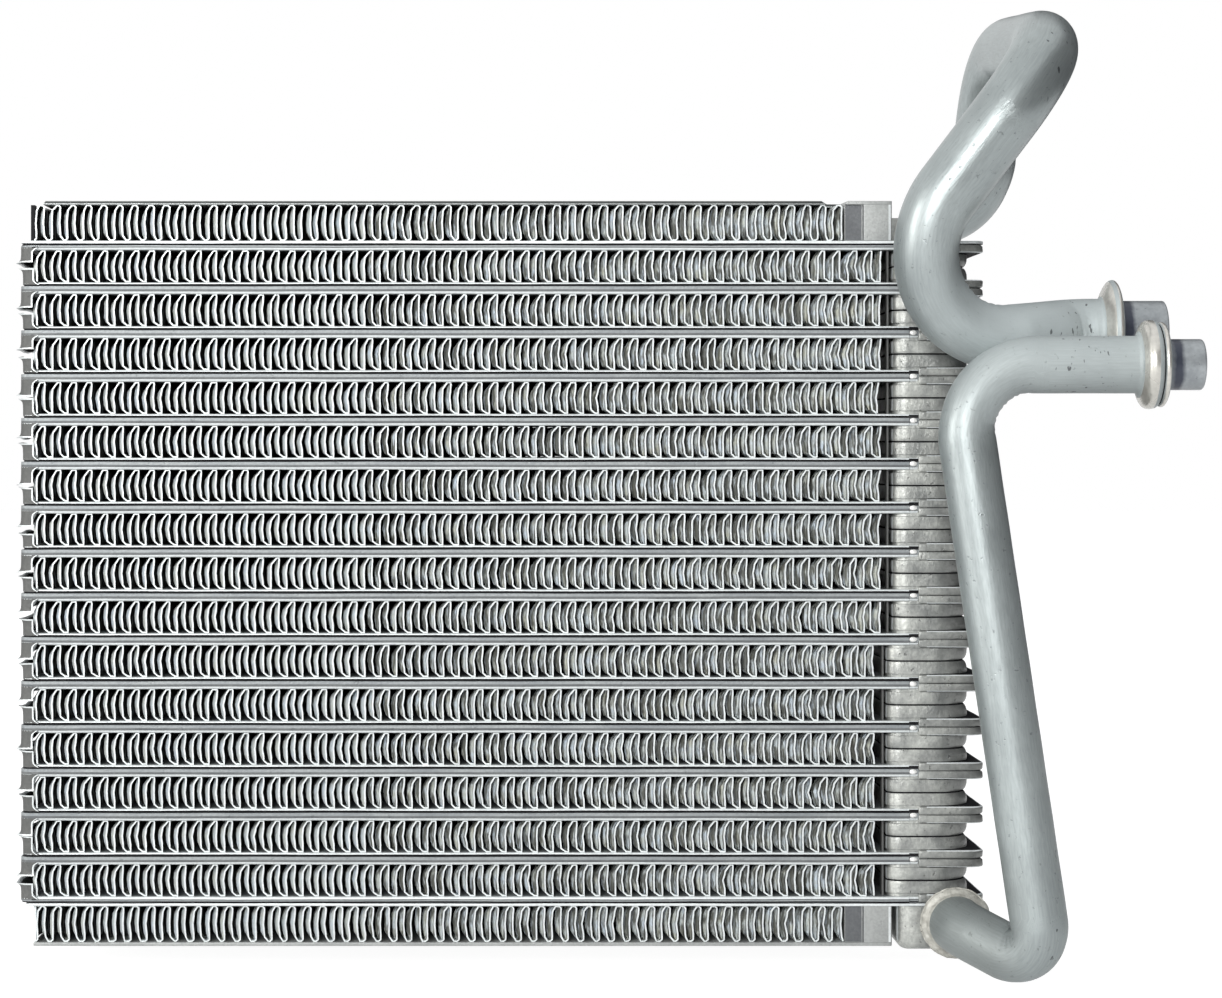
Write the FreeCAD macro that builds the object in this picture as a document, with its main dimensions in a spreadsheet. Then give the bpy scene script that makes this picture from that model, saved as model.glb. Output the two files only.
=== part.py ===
"""Plate-and-fin evaporator core: nested flat tubes, folded fins, stacked cup tanks, two beaded pipes.

The core stands on its bottom side plate. X runs along the tubes to the tank end, Y runs back through
the depth of the core and Z runs up. The origin is on the outer face of the bottom side plate, in the
middle of the fins and of the depth. Each piece is drawn with Y counted from the front plane of the
tubes, and its placement then moves the middle of the depth to the origin.
"""
import FreeCAD, Part
import math
import os
import Sketcher

V = FreeCAD.Vector

# Sizes in millimetres: name, value or the formula that it follows, meaning
SIZES = [
    ("tube_count", 16, "flat tubes in the stack"),
    ("tube_pitch", 12.5, "from one tube to the next"),
    ("tube_half", 1.7, "half the thickness of a flat tube"),
    ("sheet", 0.5, "sheet of the stamped plates"),
    ("nest_gap", 0.05, "room between an upper plate and the skirt around it"),
    ("skirt_reach", 0.9, "how far a plate's wall reaches past the middle of the tube"),
    ("flat_plate", 1.0, "thickness of the flat end plates"),
    ("side_sheet", 1.0, "thickness of the side plates"),
    ("end_fin_rise", 10.3, "height of the first and the last fin"),
    ("core_depth", 89.0, "front to back of the tubes"),
    ("tube_left", 125.0, "left end of the tubes, from the middle"),
    ("tube_corner", 3.2, "plan corner at the left end of the tubes"),
    ("tab_reach", 3.3, "how far the end tabs return along the front and the back"),
    ("tab_rise", 5.2, "height of the end tabs above the middle of the tube"),
    ("lip_reach", 1.4, "flared lip of a tab outside the left end"),
    ("lip_inset", 2.6, "where the lip starts, from the front and from the back"),
    ("tank_left", 131.0, "left end of the thick rim"),
    ("rim_length", 18.8, "length of the thick rim"),
    ("tank_right", "tank_left + rim_length", "right end of the rim"),
    ("rim_half", 2.4, "height of the rim of one plate"),
    ("rim_corner", 3.5, "plan corner of the rim"),
    ("cup_lead", 7.3, "cups before the left end of the rim"),
    ("cup_width", 22.5, "left to right of a cup"),
    ("cup_left", "tank_left - cup_lead", "left face of the cups"),
    ("cup_right", "cup_left + cup_width", "right face of the cups"),
    ("cup_front", 0.6, "front cup's front face, and the rear cup's from the back"),
    ("cup_gap", 5.0, "between the front and the rear cups"),
    ("cup_length", "(core_depth - cup_gap) / 2 - cup_front", "front to back of a cup"),
    ("cup_wall", 0.6, "wall of a cup"),
    ("cup_corner", 4.0, "inner plan corners of a cup"),
    ("cup_round", 10.0, "plan corner of a cup at the outer right"),
    ("cup_edge", 0.45, "rounded edge where two cups meet"),
    ("port_land", 3.2, "ledge around the port of a cup"),
    ("rib_inset", 20.0, "dividing rib from the left end of the tubes"),
    ("rib_left", "tube_left - rib_inset", "left end of the dividing rib"),
    ("rib_width", 3.6, "width of the dividing rib"),
    ("fin_left_gap", 4.5, "fins from the left end of the tubes"),
    ("fin_right_gap", 3.2, "fins from the left face of the cups"),
    ("fin_left", "tube_left - fin_left_gap", "left end of the fins"),
    ("fin_right", "cup_left - fin_right_gap", "right end of the inner fins"),
    ("fin_end_gap", 0.3, "between the first or the last fin and the formed end beside it"),
    ("fin_pitch", 4.46, "one full fold of a fin"),
    ("fin_sheet", 0.2, "sheet of the fins"),
    ("fin_inset", 1.0, "fins behind the front plane and before the back plane"),
    ("top_sheet_inset", 6.6, "top side plate from the left end of the tubes"),
    ("bottom_sheet_inset", 4.0, "bottom side plate from the left end of the tubes"),
    ("top_sheet_left", "tube_left - top_sheet_inset", "left end of the top side plate"),
    ("bottom_sheet_left", "tube_left - bottom_sheet_inset", "left end of the bottom side plate"),
    ("box_gap", 0.3, "formed ends from the left face of the cups"),
    ("box_length", 13.4, "left to right of a formed end"),
    ("box_right", "cup_left - box_gap", "right face of both formed ends"),
    ("box_left", "box_right - box_length", "left face of both formed ends"),
    ("notch_width", 5.1, "notch beside the top formed end"),
    ("notch_depth", 12.0, "depth of that notch from the front and from the back"),
    ("top_plate_inset", 0.5, "upper flat plate from the left end of the tubes"),
    ("bottom_plate_inset", 1.8, "lower flat plate from the left end of the tubes"),
    ("top_plate_left", "tube_left - top_plate_inset", "left end of the upper flat plate"),
    ("bottom_plate_left", "tube_left - bottom_plate_inset", "left end of the lower flat plate"),
    ("block_inset", 1.1, "tank blocks from the left face of the cups"),
    ("block_left", "cup_left + block_inset", "left face of the tank blocks"),
    ("inlet_block_right", "cup_right + 0.8", "right face of the inlet block"),
    ("block_wall", 1.5, "wall of the tank blocks"),
    ("block_round", 3.0, "rounded outer edges of the tank blocks"),
    ("inlet_block_front", 0.3, "inlet block before the front plane"),
    ("inlet_block_back", "cup_front + cup_length", "back face of the inlet block"),
    ("inlet_block_rise", 12.5, "height of the inlet block"),
    ("inlet_x", "tank_left + 10.2", "axis of the inlet boss"),
    ("inlet_z", 7.0, "axis of the inlet boss"),
    ("inlet_boss", 9.4, "radius of the inlet boss"),
    ("inlet_boss_length", 2.1, "inlet boss out of its block"),
    ("inlet_seat", 1.5, "depth of the inlet pipe's seat"),
    ("inlet_channel", 3.4, "radius of the channel into the inlet block"),
    ("inlet_channel_drop", 0.8, "channel below the axis of the boss"),
    ("outlet_block_right", "tank_left + 8", "right face of the outlet block"),
    ("outlet_block_inset", 2.0, "outlet block inside the rear cup and the back plane"),
    ("outlet_block_front", "(core_depth + cup_gap) / 2 + outlet_block_inset",
     "front face of the outlet block"),
    ("outlet_block_back", "core_depth - outlet_block_inset", "back face of the outlet block"),
    ("outlet_block_rise", 10.2, "height of the outlet block"),
    ("outlet_inset", 23.0, "axis of the outlet boss from the back plane"),
    ("outlet_y", "core_depth - outlet_inset", "axis of the outlet boss"),
    ("outlet_lift", 11.2, "outlet axis above the flat plate"),
    ("stack_rise", "side_sheet + end_fin_rise + 2 * flat_plate + (tube_count - 1) * tube_pitch",
     "height of the upper flat plate's top"),
    ("outlet_z", "stack_rise + outlet_lift", "axis of the outlet boss"),
    ("outlet_boss", 10.6, "radius of the outlet boss"),
    ("outlet_boss_left", "tank_left + 4.8", "left end of the outlet boss"),
    ("outlet_boss_right", "tank_left + 9.4", "right end of the outlet boss"),
    ("outlet_seat", 2.5, "depth of the outlet pipe's seat"),
    ("outlet_channel", 7.4, "radius of the channel in the outlet boss"),
    ("outlet_channel_left", "tank_left + 5.8", "left end of that channel"),
    ("seat_gap", 0.05, "room around a pipe in its seat and its collar"),
    ("collar_thick", 1.2, "thickness of the collars"),
    ("inlet_collar", 10.2, "radius of the inlet collar"),
    ("outlet_collar", 11.0, "radius of the outlet collar"),
    ("inlet_radius", 7.94, "outer radius of the inlet pipe"),
    ("outlet_radius", 9.525, "outer radius of the outlet pipe"),
    ("pipe_wall", 1.2, "wall of the pipes"),
    ("inlet_run", 12.0, "inlet pipe before the front plane, to its first turn"),
    ("inlet_knee_x", "tank_left + 32", "low turn of the inlet pipe"),
    ("inlet_knee_y", -29.0, "low turn of the inlet pipe"),
    ("inlet_knee_z", -7.5, "low turn of the inlet pipe"),
    ("inlet_top_x", "tank_left + 7.3", "upper turn of the inlet pipe"),
    ("inlet_end_y", -27.0, "axis of the inlet pipe's end"),
    ("inlet_end_z", "outlet_z - 47.2", "axis of the inlet pipe's end"),
    ("inlet_bend_small", 10.5, "radius of the two lower turns"),
    ("inlet_bend_top", 18.6, "radius of the upper turn"),
    ("inlet_bead_left", "tank_left + 56.3", "start of the inlet bead"),
    ("inlet_bead_flank", 2.0, "sloping flank of the inlet bead"),
    ("inlet_bead_width", 7.7, "width of the inlet bead"),
    ("inlet_bead_radius", 12.3, "radius of the inlet bead"),
    ("inlet_pilot_radius", 7.05, "radius of the inlet pilot"),
    ("inlet_pilot_length", 10.4, "length of the inlet pilot"),
    ("outlet_run", 18.4, "outlet pipe out of its boss, to its first turn"),
    ("outlet_crown_x", "tank_left + 31", "rear upper turn of the outlet pipe"),
    ("outlet_crown_y", "outlet_y - 4", "rear upper turn of the outlet pipe"),
    ("outlet_crown_z", "outlet_z + 50", "rear upper turn of the outlet pipe"),
    ("outlet_hump_x", "tank_left + 35.9", "front upper turn of the outlet pipe"),
    ("outlet_hump_y", -27.0, "front upper turn of the outlet pipe"),
    ("outlet_hump_z", "outlet_z + 42.3", "front upper turn of the outlet pipe"),
    ("outlet_low_x", "tank_left - 27.8", "low turn of the outlet pipe"),
    ("outlet_low_y", -22.5, "low turn of the outlet pipe"),
    ("outlet_low_z", "outlet_z - 43.5", "low turn of the outlet pipe"),
    ("outlet_jog_x", "tank_left + 31", "first turn of the jog"),
    ("outlet_jog_y", -8.6, "first turn of the jog"),
    ("outlet_jog_z", "outlet_z - 38.8", "first turn of the jog"),
    ("outlet_jog_end", "tank_left + 43", "second turn of the jog"),
    ("outlet_end_y", 0.5, "axis of the outlet pipe's end"),
    ("outlet_end_z", "outlet_z - 37.3", "axis of the outlet pipe's end"),
    ("outlet_bend_first", 18.0, "radius of the turn above the boss"),
    ("outlet_bend_top", 25.5, "radius of the two upper turns"),
    ("outlet_bend_low", 26.0, "radius of the low turn"),
    ("outlet_bend_jog", 17.0, "radius of the jog's turns"),
    ("outlet_bead_left", "tank_left + 51.4", "start of the outlet bead"),
    ("outlet_bead_flank", 3.4, "sloping flank of the outlet bead"),
    ("outlet_bead_width", 5.9, "width of the outlet bead"),
    ("outlet_bead_radius", 14.95, "radius of the outlet bead"),
    ("outlet_pilot_radius", 8.95, "radius of the outlet pilot"),
    ("outlet_pilot_length", 12.4, "length of the outlet pilot"),
    ("pilot_chamfer", 0.8, "chamfer at the tip of a pilot"),
    ("bead_edge", 1.1, "rounded edge of a bead"),
    ("inlet_end_run", 6.0, "straight inlet pipe before its bead"),
    ("outlet_end_run", 1.0, "straight outlet pipe before its bead"),
]

doc = FreeCAD.newDocument("evaporator_core")
sheet = doc.addObject("Spreadsheet::Sheet", "sizes")
for row, (alias, value, meaning) in enumerate(SIZES, start=1):
    sheet.set("A%d" % row, alias)
    sheet.set("B%d" % row, "=" + value if isinstance(value, str) else str(value))
    sheet.set("C%d" % row, meaning)
    sheet.setAlias("B%d" % row, alias)
doc.recompute()
size = {alias: sheet.get(alias) for alias, value, meaning in SIZES}

parts = []
failures = []


def plus(*terms):
    """Sum of sizes as a number and as an expression; a term is a name, '-name' or (factor, name)."""
    number = 0.0
    text = "0"
    for term in terms:
        factor = 1.0
        alias = term
        if isinstance(term, tuple):
            factor, alias = term
        elif term.startswith("-"):
            factor = -1.0
            alias = term[1:]
        number += factor * size[alias]
        text += " + (%g) * sizes.%s" % (factor, alias)
    return number, text


ZERO = plus()


def bind(feature, prop, amount):
    """Tie a property of a feature to the sizes."""
    feature.setExpression(prop, amount[1])


def plane_of(body, role):
    """One of the body's own origin planes."""
    for item in body.Origin.OriginFeatures:
        if item.Role == role:
            return item
    raise ValueError("no plane " + role)


def new_sketch(body, name, role, level):
    """Sketch on an origin plane of the body, moved along the plane's normal to its level."""
    sketch = body.newObject("Sketcher::SketchObject", name)
    sketch.AttachmentSupport = [(plane_of(body, role), "")]
    sketch.MapMode = "FlatFace"
    bind(sketch, "AttachmentOffset.Base.z", level)
    return sketch


def hold(sketch, constraint, amount):
    """Add a dimension that follows the sizes."""
    index = sketch.addConstraint(constraint)
    sketch.setExpression("Constraints[%d]" % index, amount[1])


def outline(sketch, left, right, front, back, radii=(None, None, None, None)):
    """Rectangle with square or round corners, from front left round to back left."""
    xs = (left[0], right[0], right[0], left[0])
    ys = (front[0], front[0], back[0], back[0])
    inward = ((1, 1), (-1, 1), (-1, -1), (1, -1))
    along = ((1, 0), (0, 1), (-1, 0), (0, -1))
    lines = []
    for corner in range(4):
        after = (corner + 1) % 4
        trim_start = radii[corner][0] if radii[corner] else 0.0
        trim_end = radii[after][0] if radii[after] else 0.0
        dx, dy = along[corner]
        start = V(xs[corner] + dx * trim_start, ys[corner] + dy * trim_start, 0)
        end = V(xs[after] - dx * trim_end, ys[after] - dy * trim_end, 0)
        lines.append(sketch.addGeometry(Part.LineSegment(start, end), False))
    for corner in range(4):
        before = lines[corner - 1]
        if radii[corner] is None:
            sketch.addConstraint(Sketcher.Constraint("Coincident", before, 2, lines[corner], 1))
            continue
        radius = radii[corner][0]
        centre = V(xs[corner] + inward[corner][0] * radius, ys[corner] + inward[corner][1] * radius, 0)
        begin = math.pi + corner * math.pi / 2
        circle = Part.Circle(centre, V(0, 0, 1), radius)
        arc = sketch.addGeometry(Part.ArcOfCircle(circle, begin, begin + math.pi / 2), False)
        sketch.addConstraint(Sketcher.Constraint("Tangent", before, 2, arc, 1))
        sketch.addConstraint(Sketcher.Constraint("Tangent", arc, 2, lines[corner], 1))
        hold(sketch, Sketcher.Constraint("Radius", arc, radius), radii[corner])
    for side, kind in enumerate(("Horizontal", "Vertical", "Horizontal", "Vertical")):
        sketch.addConstraint(Sketcher.Constraint(kind, lines[side]))
    hold(sketch, Sketcher.Constraint("DistanceY", -1, 1, lines[0], 1, front[0]), front)
    hold(sketch, Sketcher.Constraint("DistanceX", -1, 1, lines[1], 1, right[0]), right)
    hold(sketch, Sketcher.Constraint("DistanceY", -1, 1, lines[2], 1, back[0]), back)
    hold(sketch, Sketcher.Constraint("DistanceX", -1, 1, lines[3], 1, left[0]), left)


def ring(sketch, across, up, radius):
    """Circle in a sketch, its centre and radius tied to the sizes."""
    circle = sketch.addGeometry(Part.Circle(V(across[0], up[0], 0), V(0, 0, 1), radius[0]), False)
    hold(sketch, Sketcher.Constraint("DistanceX", -1, 1, circle, 3, across[0]), across)
    hold(sketch, Sketcher.Constraint("DistanceY", -1, 1, circle, 3, up[0]), up)
    hold(sketch, Sketcher.Constraint("Radius", circle, radius[0]), radius)


def pad(body, sketch, name, length):
    """Pad a sketch along its normal."""
    feature = body.newObject("PartDesign::Pad", name)
    feature.Profile = sketch
    bind(feature, "Length", length)
    return feature


def pocket(body, sketch, name, length, reverse=False):
    """Cut a sketch into the body and see that it took something away."""
    doc.recompute()
    before = body.Shape.Volume
    feature = body.newObject("PartDesign::Pocket", name)
    feature.Profile = sketch
    feature.Reversed = reverse
    bind(feature, "Length", length)
    doc.recompute()
    if not body.Shape.Volume < before - 0.01:
        failures.append("%s cuts nothing from %s" % (name, body.Name))
    return feature


def edges_at(shape, level, tolerance=0.001):
    """Names of the edges that lie wholly in one horizontal plane."""
    names = []
    for index, edge in enumerate(shape.Edges, start=1):
        box = edge.BoundBox
        if abs(box.ZMin - level) < tolerance and abs(box.ZMax - level) < tolerance:
            names.append("Edge%d" % index)
    return names


def round_edges(body, name, base, names, radius):
    """Round named edges of the last feature."""
    feature = body.newObject("PartDesign::Fillet", name)
    feature.Base = (base, names)
    bind(feature, "Radius", radius)
    return feature


def cup_outlines(sketch, inset, radius_inset):
    """Plan outlines of the front and the rear cup, moved in from the cups' outer faces."""
    left = plus("cup_left", *inset)
    right = plus("cup_right", *["-" + item for item in inset])
    corner = plus("cup_corner", *radius_inset)
    outer = plus("cup_round", *radius_inset)
    front = plus("cup_front", *inset)
    back = plus("cup_front", "cup_length", *["-" + item for item in inset])
    outline(sketch, left, right, front, back, (corner, outer, corner, corner))
    front = plus("core_depth", "-cup_front", "-cup_length", *inset)
    back = plus("core_depth", "-cup_front", *["-" + item for item in inset])
    outline(sketch, left, right, front, back, (corner, corner, outer, corner))


def stamped_form(name, inset, reaches):
    """Stamped plate with its web on top; it may sit inside a skirt and may reach past the middle."""
    body = doc.addObject("PartDesign::Body", name)
    near = ["sheet", "nest_gap"] if inset else []
    far = ["-" + item for item in near]
    reach = ["skirt_reach"] if reaches else []
    corner = plus("tube_corner", *far)
    inner_corner = plus("tube_corner", "-sheet", *far)
    left = plus("-tube_left", *near)
    front = plus(*near)
    back = plus("core_depth", *far)

    pan = new_sketch(body, name + "_pan_plan", "XY_Plane", ZERO)
    outline(pan, left, plus("tank_left", "sheet"), front, back, (corner, None, None, corner))
    pad(body, pan, name + "_pan", plus("tube_half"))
    if reaches:
        skirt = new_sketch(body, name + "_skirt_plan", "XY_Plane", plus("-skirt_reach"))
        end = plus("tank_left", (-2.0, "nest_gap"))
        outline(skirt, left, end, front, back, (corner, None, None, corner))
        pad(body, skirt, name + "_skirt", plus("skirt_reach"))
    rim = new_sketch(body, name + "_rim_plan", "XY_Plane", ZERO)
    rim_corner = plus("rim_corner")
    outline(rim, plus("tank_left"), plus("tank_right"), ZERO, plus("core_depth"),
            (None, rim_corner, rim_corner, None))
    pad(body, rim, name + "_rim", plus("rim_half"))
    cups = new_sketch(body, name + "_cup_plan", "XY_Plane", ZERO)
    cup_outlines(cups, [], [])
    pad(body, cups, name + "_cups", plus((0.5, "tube_pitch")))
    tab = new_sketch(body, name + "_tab_plan", "XY_Plane", ZERO)
    outline(tab, left, plus("-tube_left", "tab_reach"), front, back, (corner, None, None, corner))
    pad(body, tab, name + "_tab", plus("tab_rise"))
    lip = new_sketch(body, name + "_lip_plan", "XY_Plane", plus("tab_rise", "-sheet"))
    outline(lip, plus("-tube_left", "-lip_reach"), plus("-tube_left", "sheet", *near),
            plus("lip_inset"), plus("core_depth", "-lip_inset"))
    pad(body, lip, name + "_lip", plus("sheet"))

    room = new_sketch(body, name + "_tab_room_plan", "XY_Plane", plus("tab_rise"))
    outline(room, plus("-tube_left", "sheet", *near), plus("-tube_left", "tab_reach", "sheet"),
            plus("sheet", *near), plus("core_depth", "-sheet", *far),
            (inner_corner, None, None, inner_corner))
    pocket(body, room, name + "_tab_room", plus("tab_rise", "-tube_half"))
    hollow = new_sketch(body, name + "_hollow_plan", "XY_Plane", plus(*["-" + item for item in reach]))
    outline(hollow, plus("-tube_left", "sheet", *near), plus("tank_left", (2.0, "sheet")),
            plus("sheet", *near), plus("core_depth", "-sheet", *far),
            (inner_corner, None, None, inner_corner))
    pocket(body, hollow, name + "_hollow", plus("tube_half", "-sheet", *reach), True)
    rim_inner = plus("rim_corner", "-sheet")
    chamber = new_sketch(body, name + "_chamber_plan", "XY_Plane", ZERO)
    outline(chamber, plus("tank_left", "sheet"), plus("tank_right", "-sheet"),
            plus("sheet"), plus("core_depth", "-sheet"), (None, rim_inner, rim_inner, None))
    pocket(body, chamber, name + "_chamber", plus("rim_half", "-sheet"), True)
    deep = new_sketch(body, name + "_cup_room_plan", "XY_Plane", ZERO)
    cup_outlines(deep, ["cup_wall"], ["-cup_wall"])
    pocket(body, deep, name + "_cup_room", plus((0.5, "tube_pitch"), "-cup_wall"), True)
    ports = new_sketch(body, name + "_port_plan", "XY_Plane", ZERO)
    cup_outlines(ports, ["port_land"], ["-port_land"])
    pocket(body, ports, name + "_ports", plus((0.5, "tube_pitch")), True)

    half_rib = (0.5, "rib_width")
    less_rib = (-0.5, "rib_width")
    middle = (0.5, "core_depth")
    rib = new_sketch(body, name + "_rib_plan", "XY_Plane", ZERO)
    outline(rib, plus("-rib_left"), plus("tank_right", (-0.5, "sheet")),
            plus(middle, less_rib), plus(middle, half_rib))
    pad(body, rib, name + "_rib", plus("tube_half", (-0.5, "sheet")))
    high = new_sketch(body, name + "_high_rib_plan", "XY_Plane", ZERO)
    outline(high, plus("tank_left", (0.5, "sheet")), plus("tank_right", (-0.5, "sheet")),
            plus(middle, less_rib), plus(middle, half_rib))
    pad(body, high, name + "_high_rib", plus("rim_half", (-0.5, "sheet")))
    groove = new_sketch(body, name + "_groove_plan", "XY_Plane", plus("rim_half"))
    outline(groove, plus("-rib_left", "sheet"), plus("tank_right", (-2.0, "sheet")),
            plus(middle, less_rib, "sheet"), plus(middle, half_rib, "-sheet"))
    pocket(body, groove, name + "_groove", plus("rim_half", "-sheet"))
    doc.recompute()

    top = size["tube_pitch"] / 2
    shape = body.Shape
    margin = size["port_land"] * 0.5
    chosen = []
    for label in edges_at(shape, top):
        box = shape.getElement(label).BoundBox
        inside_x = box.XMin > size["cup_left"] + margin and box.XMax < size["cup_right"] - margin
        low = (box.YMin + box.YMax) / 2
        rear = low > size["core_depth"] / 2
        if rear:
            low = size["core_depth"] - low
        inside_y = size["cup_front"] + margin < low
        inside_y = inside_y and low < size["cup_front"] + size["cup_length"] - margin
        if not (inside_x and inside_y) and on_cup_outline(box):
            chosen.append(label)
    round_edges(body, name + "_cup_edge", body.Tip, chosen, plus("cup_edge"))
    doc.recompute()
    return body


def on_cup_outline(box):
    """True for an edge at the top of a cup that belongs to the cup's outer outline."""
    ledge = size["port_land"] - 0.05
    x_low = size["cup_left"] + ledge
    x_high = size["cup_right"] - ledge
    y_low = size["cup_front"] + ledge
    y_high = size["cup_front"] + size["cup_length"] - ledge
    middle = (box.YMin + box.YMax) / 2
    near = box.YMin
    far = box.YMax
    if middle > size["core_depth"] / 2:
        near = size["core_depth"] - box.YMax
        far = size["core_depth"] - box.YMin
    within = box.XMin >= x_low and box.XMax <= x_high and near >= y_low and far <= y_high
    return not within


def seat(item, height, turned=False):
    """Put a sub-part at its height, with the middle of its depth over the origin, turned if asked."""
    shift = plus((0.5 if turned else -0.5, "core_depth"))
    rotation = FreeCAD.Rotation(V(1, 0, 0), 180 if turned else 0)
    item.Placement = FreeCAD.Placement(V(0, shift[0], height[0]), rotation)
    bind(item, "Placement.Base.y", shift)
    bind(item, "Placement.Base.z", height)
    parts.append(item)


def place(label, form, height, turned=False):
    """Sub-part with the shape of a form at a height, turned over about the X axis if asked."""
    item = doc.addObject("Part::Compound", label)
    item.Label = label
    item.Links = [form]
    seat(item, height, turned)


def folded_face(right, rise):
    """Section of a fin in the XZ plane as a closed polygon."""
    half = size["fin_sheet"] / 2
    left = -size["fin_left"]
    legs = int(round((right - left) / size["fin_pitch"] * 2))
    step = (right - left - size["fin_sheet"]) / legs
    one_side = []
    other_side = []
    for leg in range(legs + 1):
        x = left + half + leg * step
        rising = leg % 2 == 0
        low_outer = 0.0
        low_inner = size["fin_sheet"]
        high_outer = rise
        high_inner = rise - size["fin_sheet"]
        if rising:
            one_side.append((x - half, low_inner if leg else low_outer))
            one_side.append((x - half, high_outer))
            other_side.append((x + half, low_outer))
            other_side.append((x + half, high_inner if leg < legs else high_outer))
        else:
            one_side.append((x + half, high_outer))
            one_side.append((x + half, low_inner if leg < legs else low_outer))
            other_side.append((x - half, high_inner))
            other_side.append((x - half, low_outer))
    points = [V(x, 0, z) for x, z in one_side + other_side[::-1]]
    return Part.Face(Part.makePolygon(points + [points[0]]))


def fin_strip(name, right, rise):
    """Fin strip as a form, from behind the front plane to before the back plane."""
    depth = size["core_depth"] - 2 * size["fin_inset"]
    form = doc.addObject("Part::Feature", name)
    form.Shape = folded_face(right, rise).extrude(V(0, depth, 0))
    form.Placement = FreeCAD.Placement(V(0, size["fin_inset"], 0), FreeCAD.Rotation())
    return form


def flat_end_plate(label, left, height, block_right, block_front, block_back):
    """Flat plate that closes the first or the last tube, with a port as large as its block's room."""
    body = doc.addObject("PartDesign::Body", label)
    body.Label = label
    plan = new_sketch(body, label + "_plan", "XY_Plane", ZERO)
    corner = plus("rim_corner")
    outline(plan, plus("-" + left), plus("tank_right"), ZERO, plus("core_depth"),
            (None, corner, corner, None))
    pad(body, plan, label + "_sheet", plus("flat_plate"))
    port = new_sketch(body, label + "_port_plan", "XY_Plane", plus("flat_plate"))
    corner = plus("cup_corner", "-block_wall")
    outline(port, plus("block_left", "block_wall"), plus(block_right, "-block_wall"),
            plus(block_front, "block_wall"), plus(block_back, "-block_wall"), (corner,) * 4)
    pocket(body, port, label + "_port", plus("flat_plate"))
    seat(body, height)


def side_plate(label, left, height, notched):
    """Side plate with the sheet outside and a formed end that reaches the flat end plate.

    The plate is drawn with its sheet on top; the bottom one is turned over.
    """
    body = doc.addObject("PartDesign::Body", label)
    body.Label = label
    plan = new_sketch(body, label + "_plan", "XY_Plane", plus("end_fin_rise"))
    outline(plan, plus("-" + left), plus("box_right"), ZERO, plus("core_depth"))
    pad(body, plan, label + "_sheet", plus("side_sheet"))
    corner = plus("tube_corner")
    box = new_sketch(body, label + "_box_plan", "XY_Plane", ZERO)
    outline(box, plus("box_left"), plus("box_right"), ZERO, plus("core_depth"))
    pad(body, box, label + "_box", plus("end_fin_rise", "side_sheet"))
    room = new_sketch(body, label + "_room_plan", "XY_Plane", ZERO)
    inner = plus("tube_corner", "-side_sheet")
    outline(room, plus("box_left", "side_sheet"), plus("box_right", "-side_sheet"),
            plus("side_sheet"), plus("core_depth", "-side_sheet"), (inner, inner, inner, inner))
    pocket(body, room, label + "_room", plus("end_fin_rise"), True)
    if notched:
        notch = new_sketch(body, label + "_notch_plan", "XY_Plane", plus("end_fin_rise", "side_sheet"))
        notch_left = plus("box_left", "-notch_width")
        outline(notch, notch_left, plus("box_left"), ZERO, plus("notch_depth"))
        outline(notch, notch_left, plus("box_left"), plus("core_depth", "-notch_depth"), plus("core_depth"))
        pocket(body, notch, label + "_notch", plus("side_sheet"))
    doc.recompute()
    upright = []
    for index, edge in enumerate(body.Shape.Edges, start=1):
        bounds = edge.BoundBox
        outside = bounds.YMin < 0.001 or bounds.YMax > size["core_depth"] - 0.001
        at_right = bounds.XMin > size["box_right"] - 0.001
        if outside and at_right and bounds.ZLength > size["end_fin_rise"] * 0.5:
            upright.append("Edge%d" % index)
    round_edges(body, label + "_corners", body.Tip, upright, corner)
    seat(body, height, not notched)


def tank_block(label, right, front, back, floor, rise, open_top):
    """Drawn cup that joins a pipe to the end of a tank, open towards the core."""
    body = doc.addObject("PartDesign::Body", label)
    body.Label = label
    corner = plus("cup_corner")
    inner = plus("cup_corner", "-block_wall")
    plan = new_sketch(body, label + "_plan", "XY_Plane", floor)
    outline(plan, plus("block_left"), plus(right), front, back, (corner,) * 4)
    pad(body, plan, label + "_cup", rise)
    doc.recompute()
    outer = floor[0] if open_top else floor[0] + rise[0]
    round_edges(body, label + "_edges", body.Tip, edges_at(body.Shape, outer), plus("block_round"))
    top = (floor[0] + rise[0], floor[1] + " + " + rise[1])
    room = new_sketch(body, label + "_room_plan", "XY_Plane", top if open_top else floor)
    front_in = (front[0] + size["block_wall"], front[1] + " + sizes.block_wall")
    back_in = (back[0] - size["block_wall"], back[1] + " - sizes.block_wall")
    outline(room, plus("block_left", "block_wall"), plus(right, "-block_wall"),
            front_in, back_in, (inner,) * 4)
    return body, room


def bent_path(points, radii):
    """Straight runs joined by tangent arcs through the turning points."""
    edges = []
    last = points[0]
    for index, radius in enumerate(radii, start=1):
        before = (points[index] - points[index - 1]).normalize()
        after = (points[index + 1] - points[index]).normalize()
        turn = before.getAngle(after)
        trim = radius * math.tan(turn / 2)
        start = points[index] - before * trim
        end = points[index] + after * trim
        inward = (after - before).normalize()
        middle = points[index] + inward * (radius / math.cos(turn / 2) - radius)
        if (start - last).dot(before) < 0.01:
            failures.append("turn %d of a pipe leaves no straight run" % index)
        edges.append(Part.LineSegment(last, start).toShape())
        edges.append(Part.Arc(start, middle, end).toShape())
        last = end
    edges.append(Part.LineSegment(last, points[-1]).toShape())
    return Part.Wire(edges)


def swept(path, radius):
    """Round bar along a path."""
    start = path.Edges[0].valueAt(path.Edges[0].FirstParameter)
    direction = path.Edges[0].tangentAt(path.Edges[0].FirstParameter)
    section = Part.Wire([Part.Circle(start, direction, radius).toShape()])
    bar = path.makePipeShell([section], True, False)
    expected = math.pi * radius ** 2 * path.Length
    if abs(bar.Volume - expected) > 0.01 * expected:
        failures.append("a pipe's sweep has volume %.0f, not %.0f" % (bar.Volume, expected))
    return bar


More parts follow.
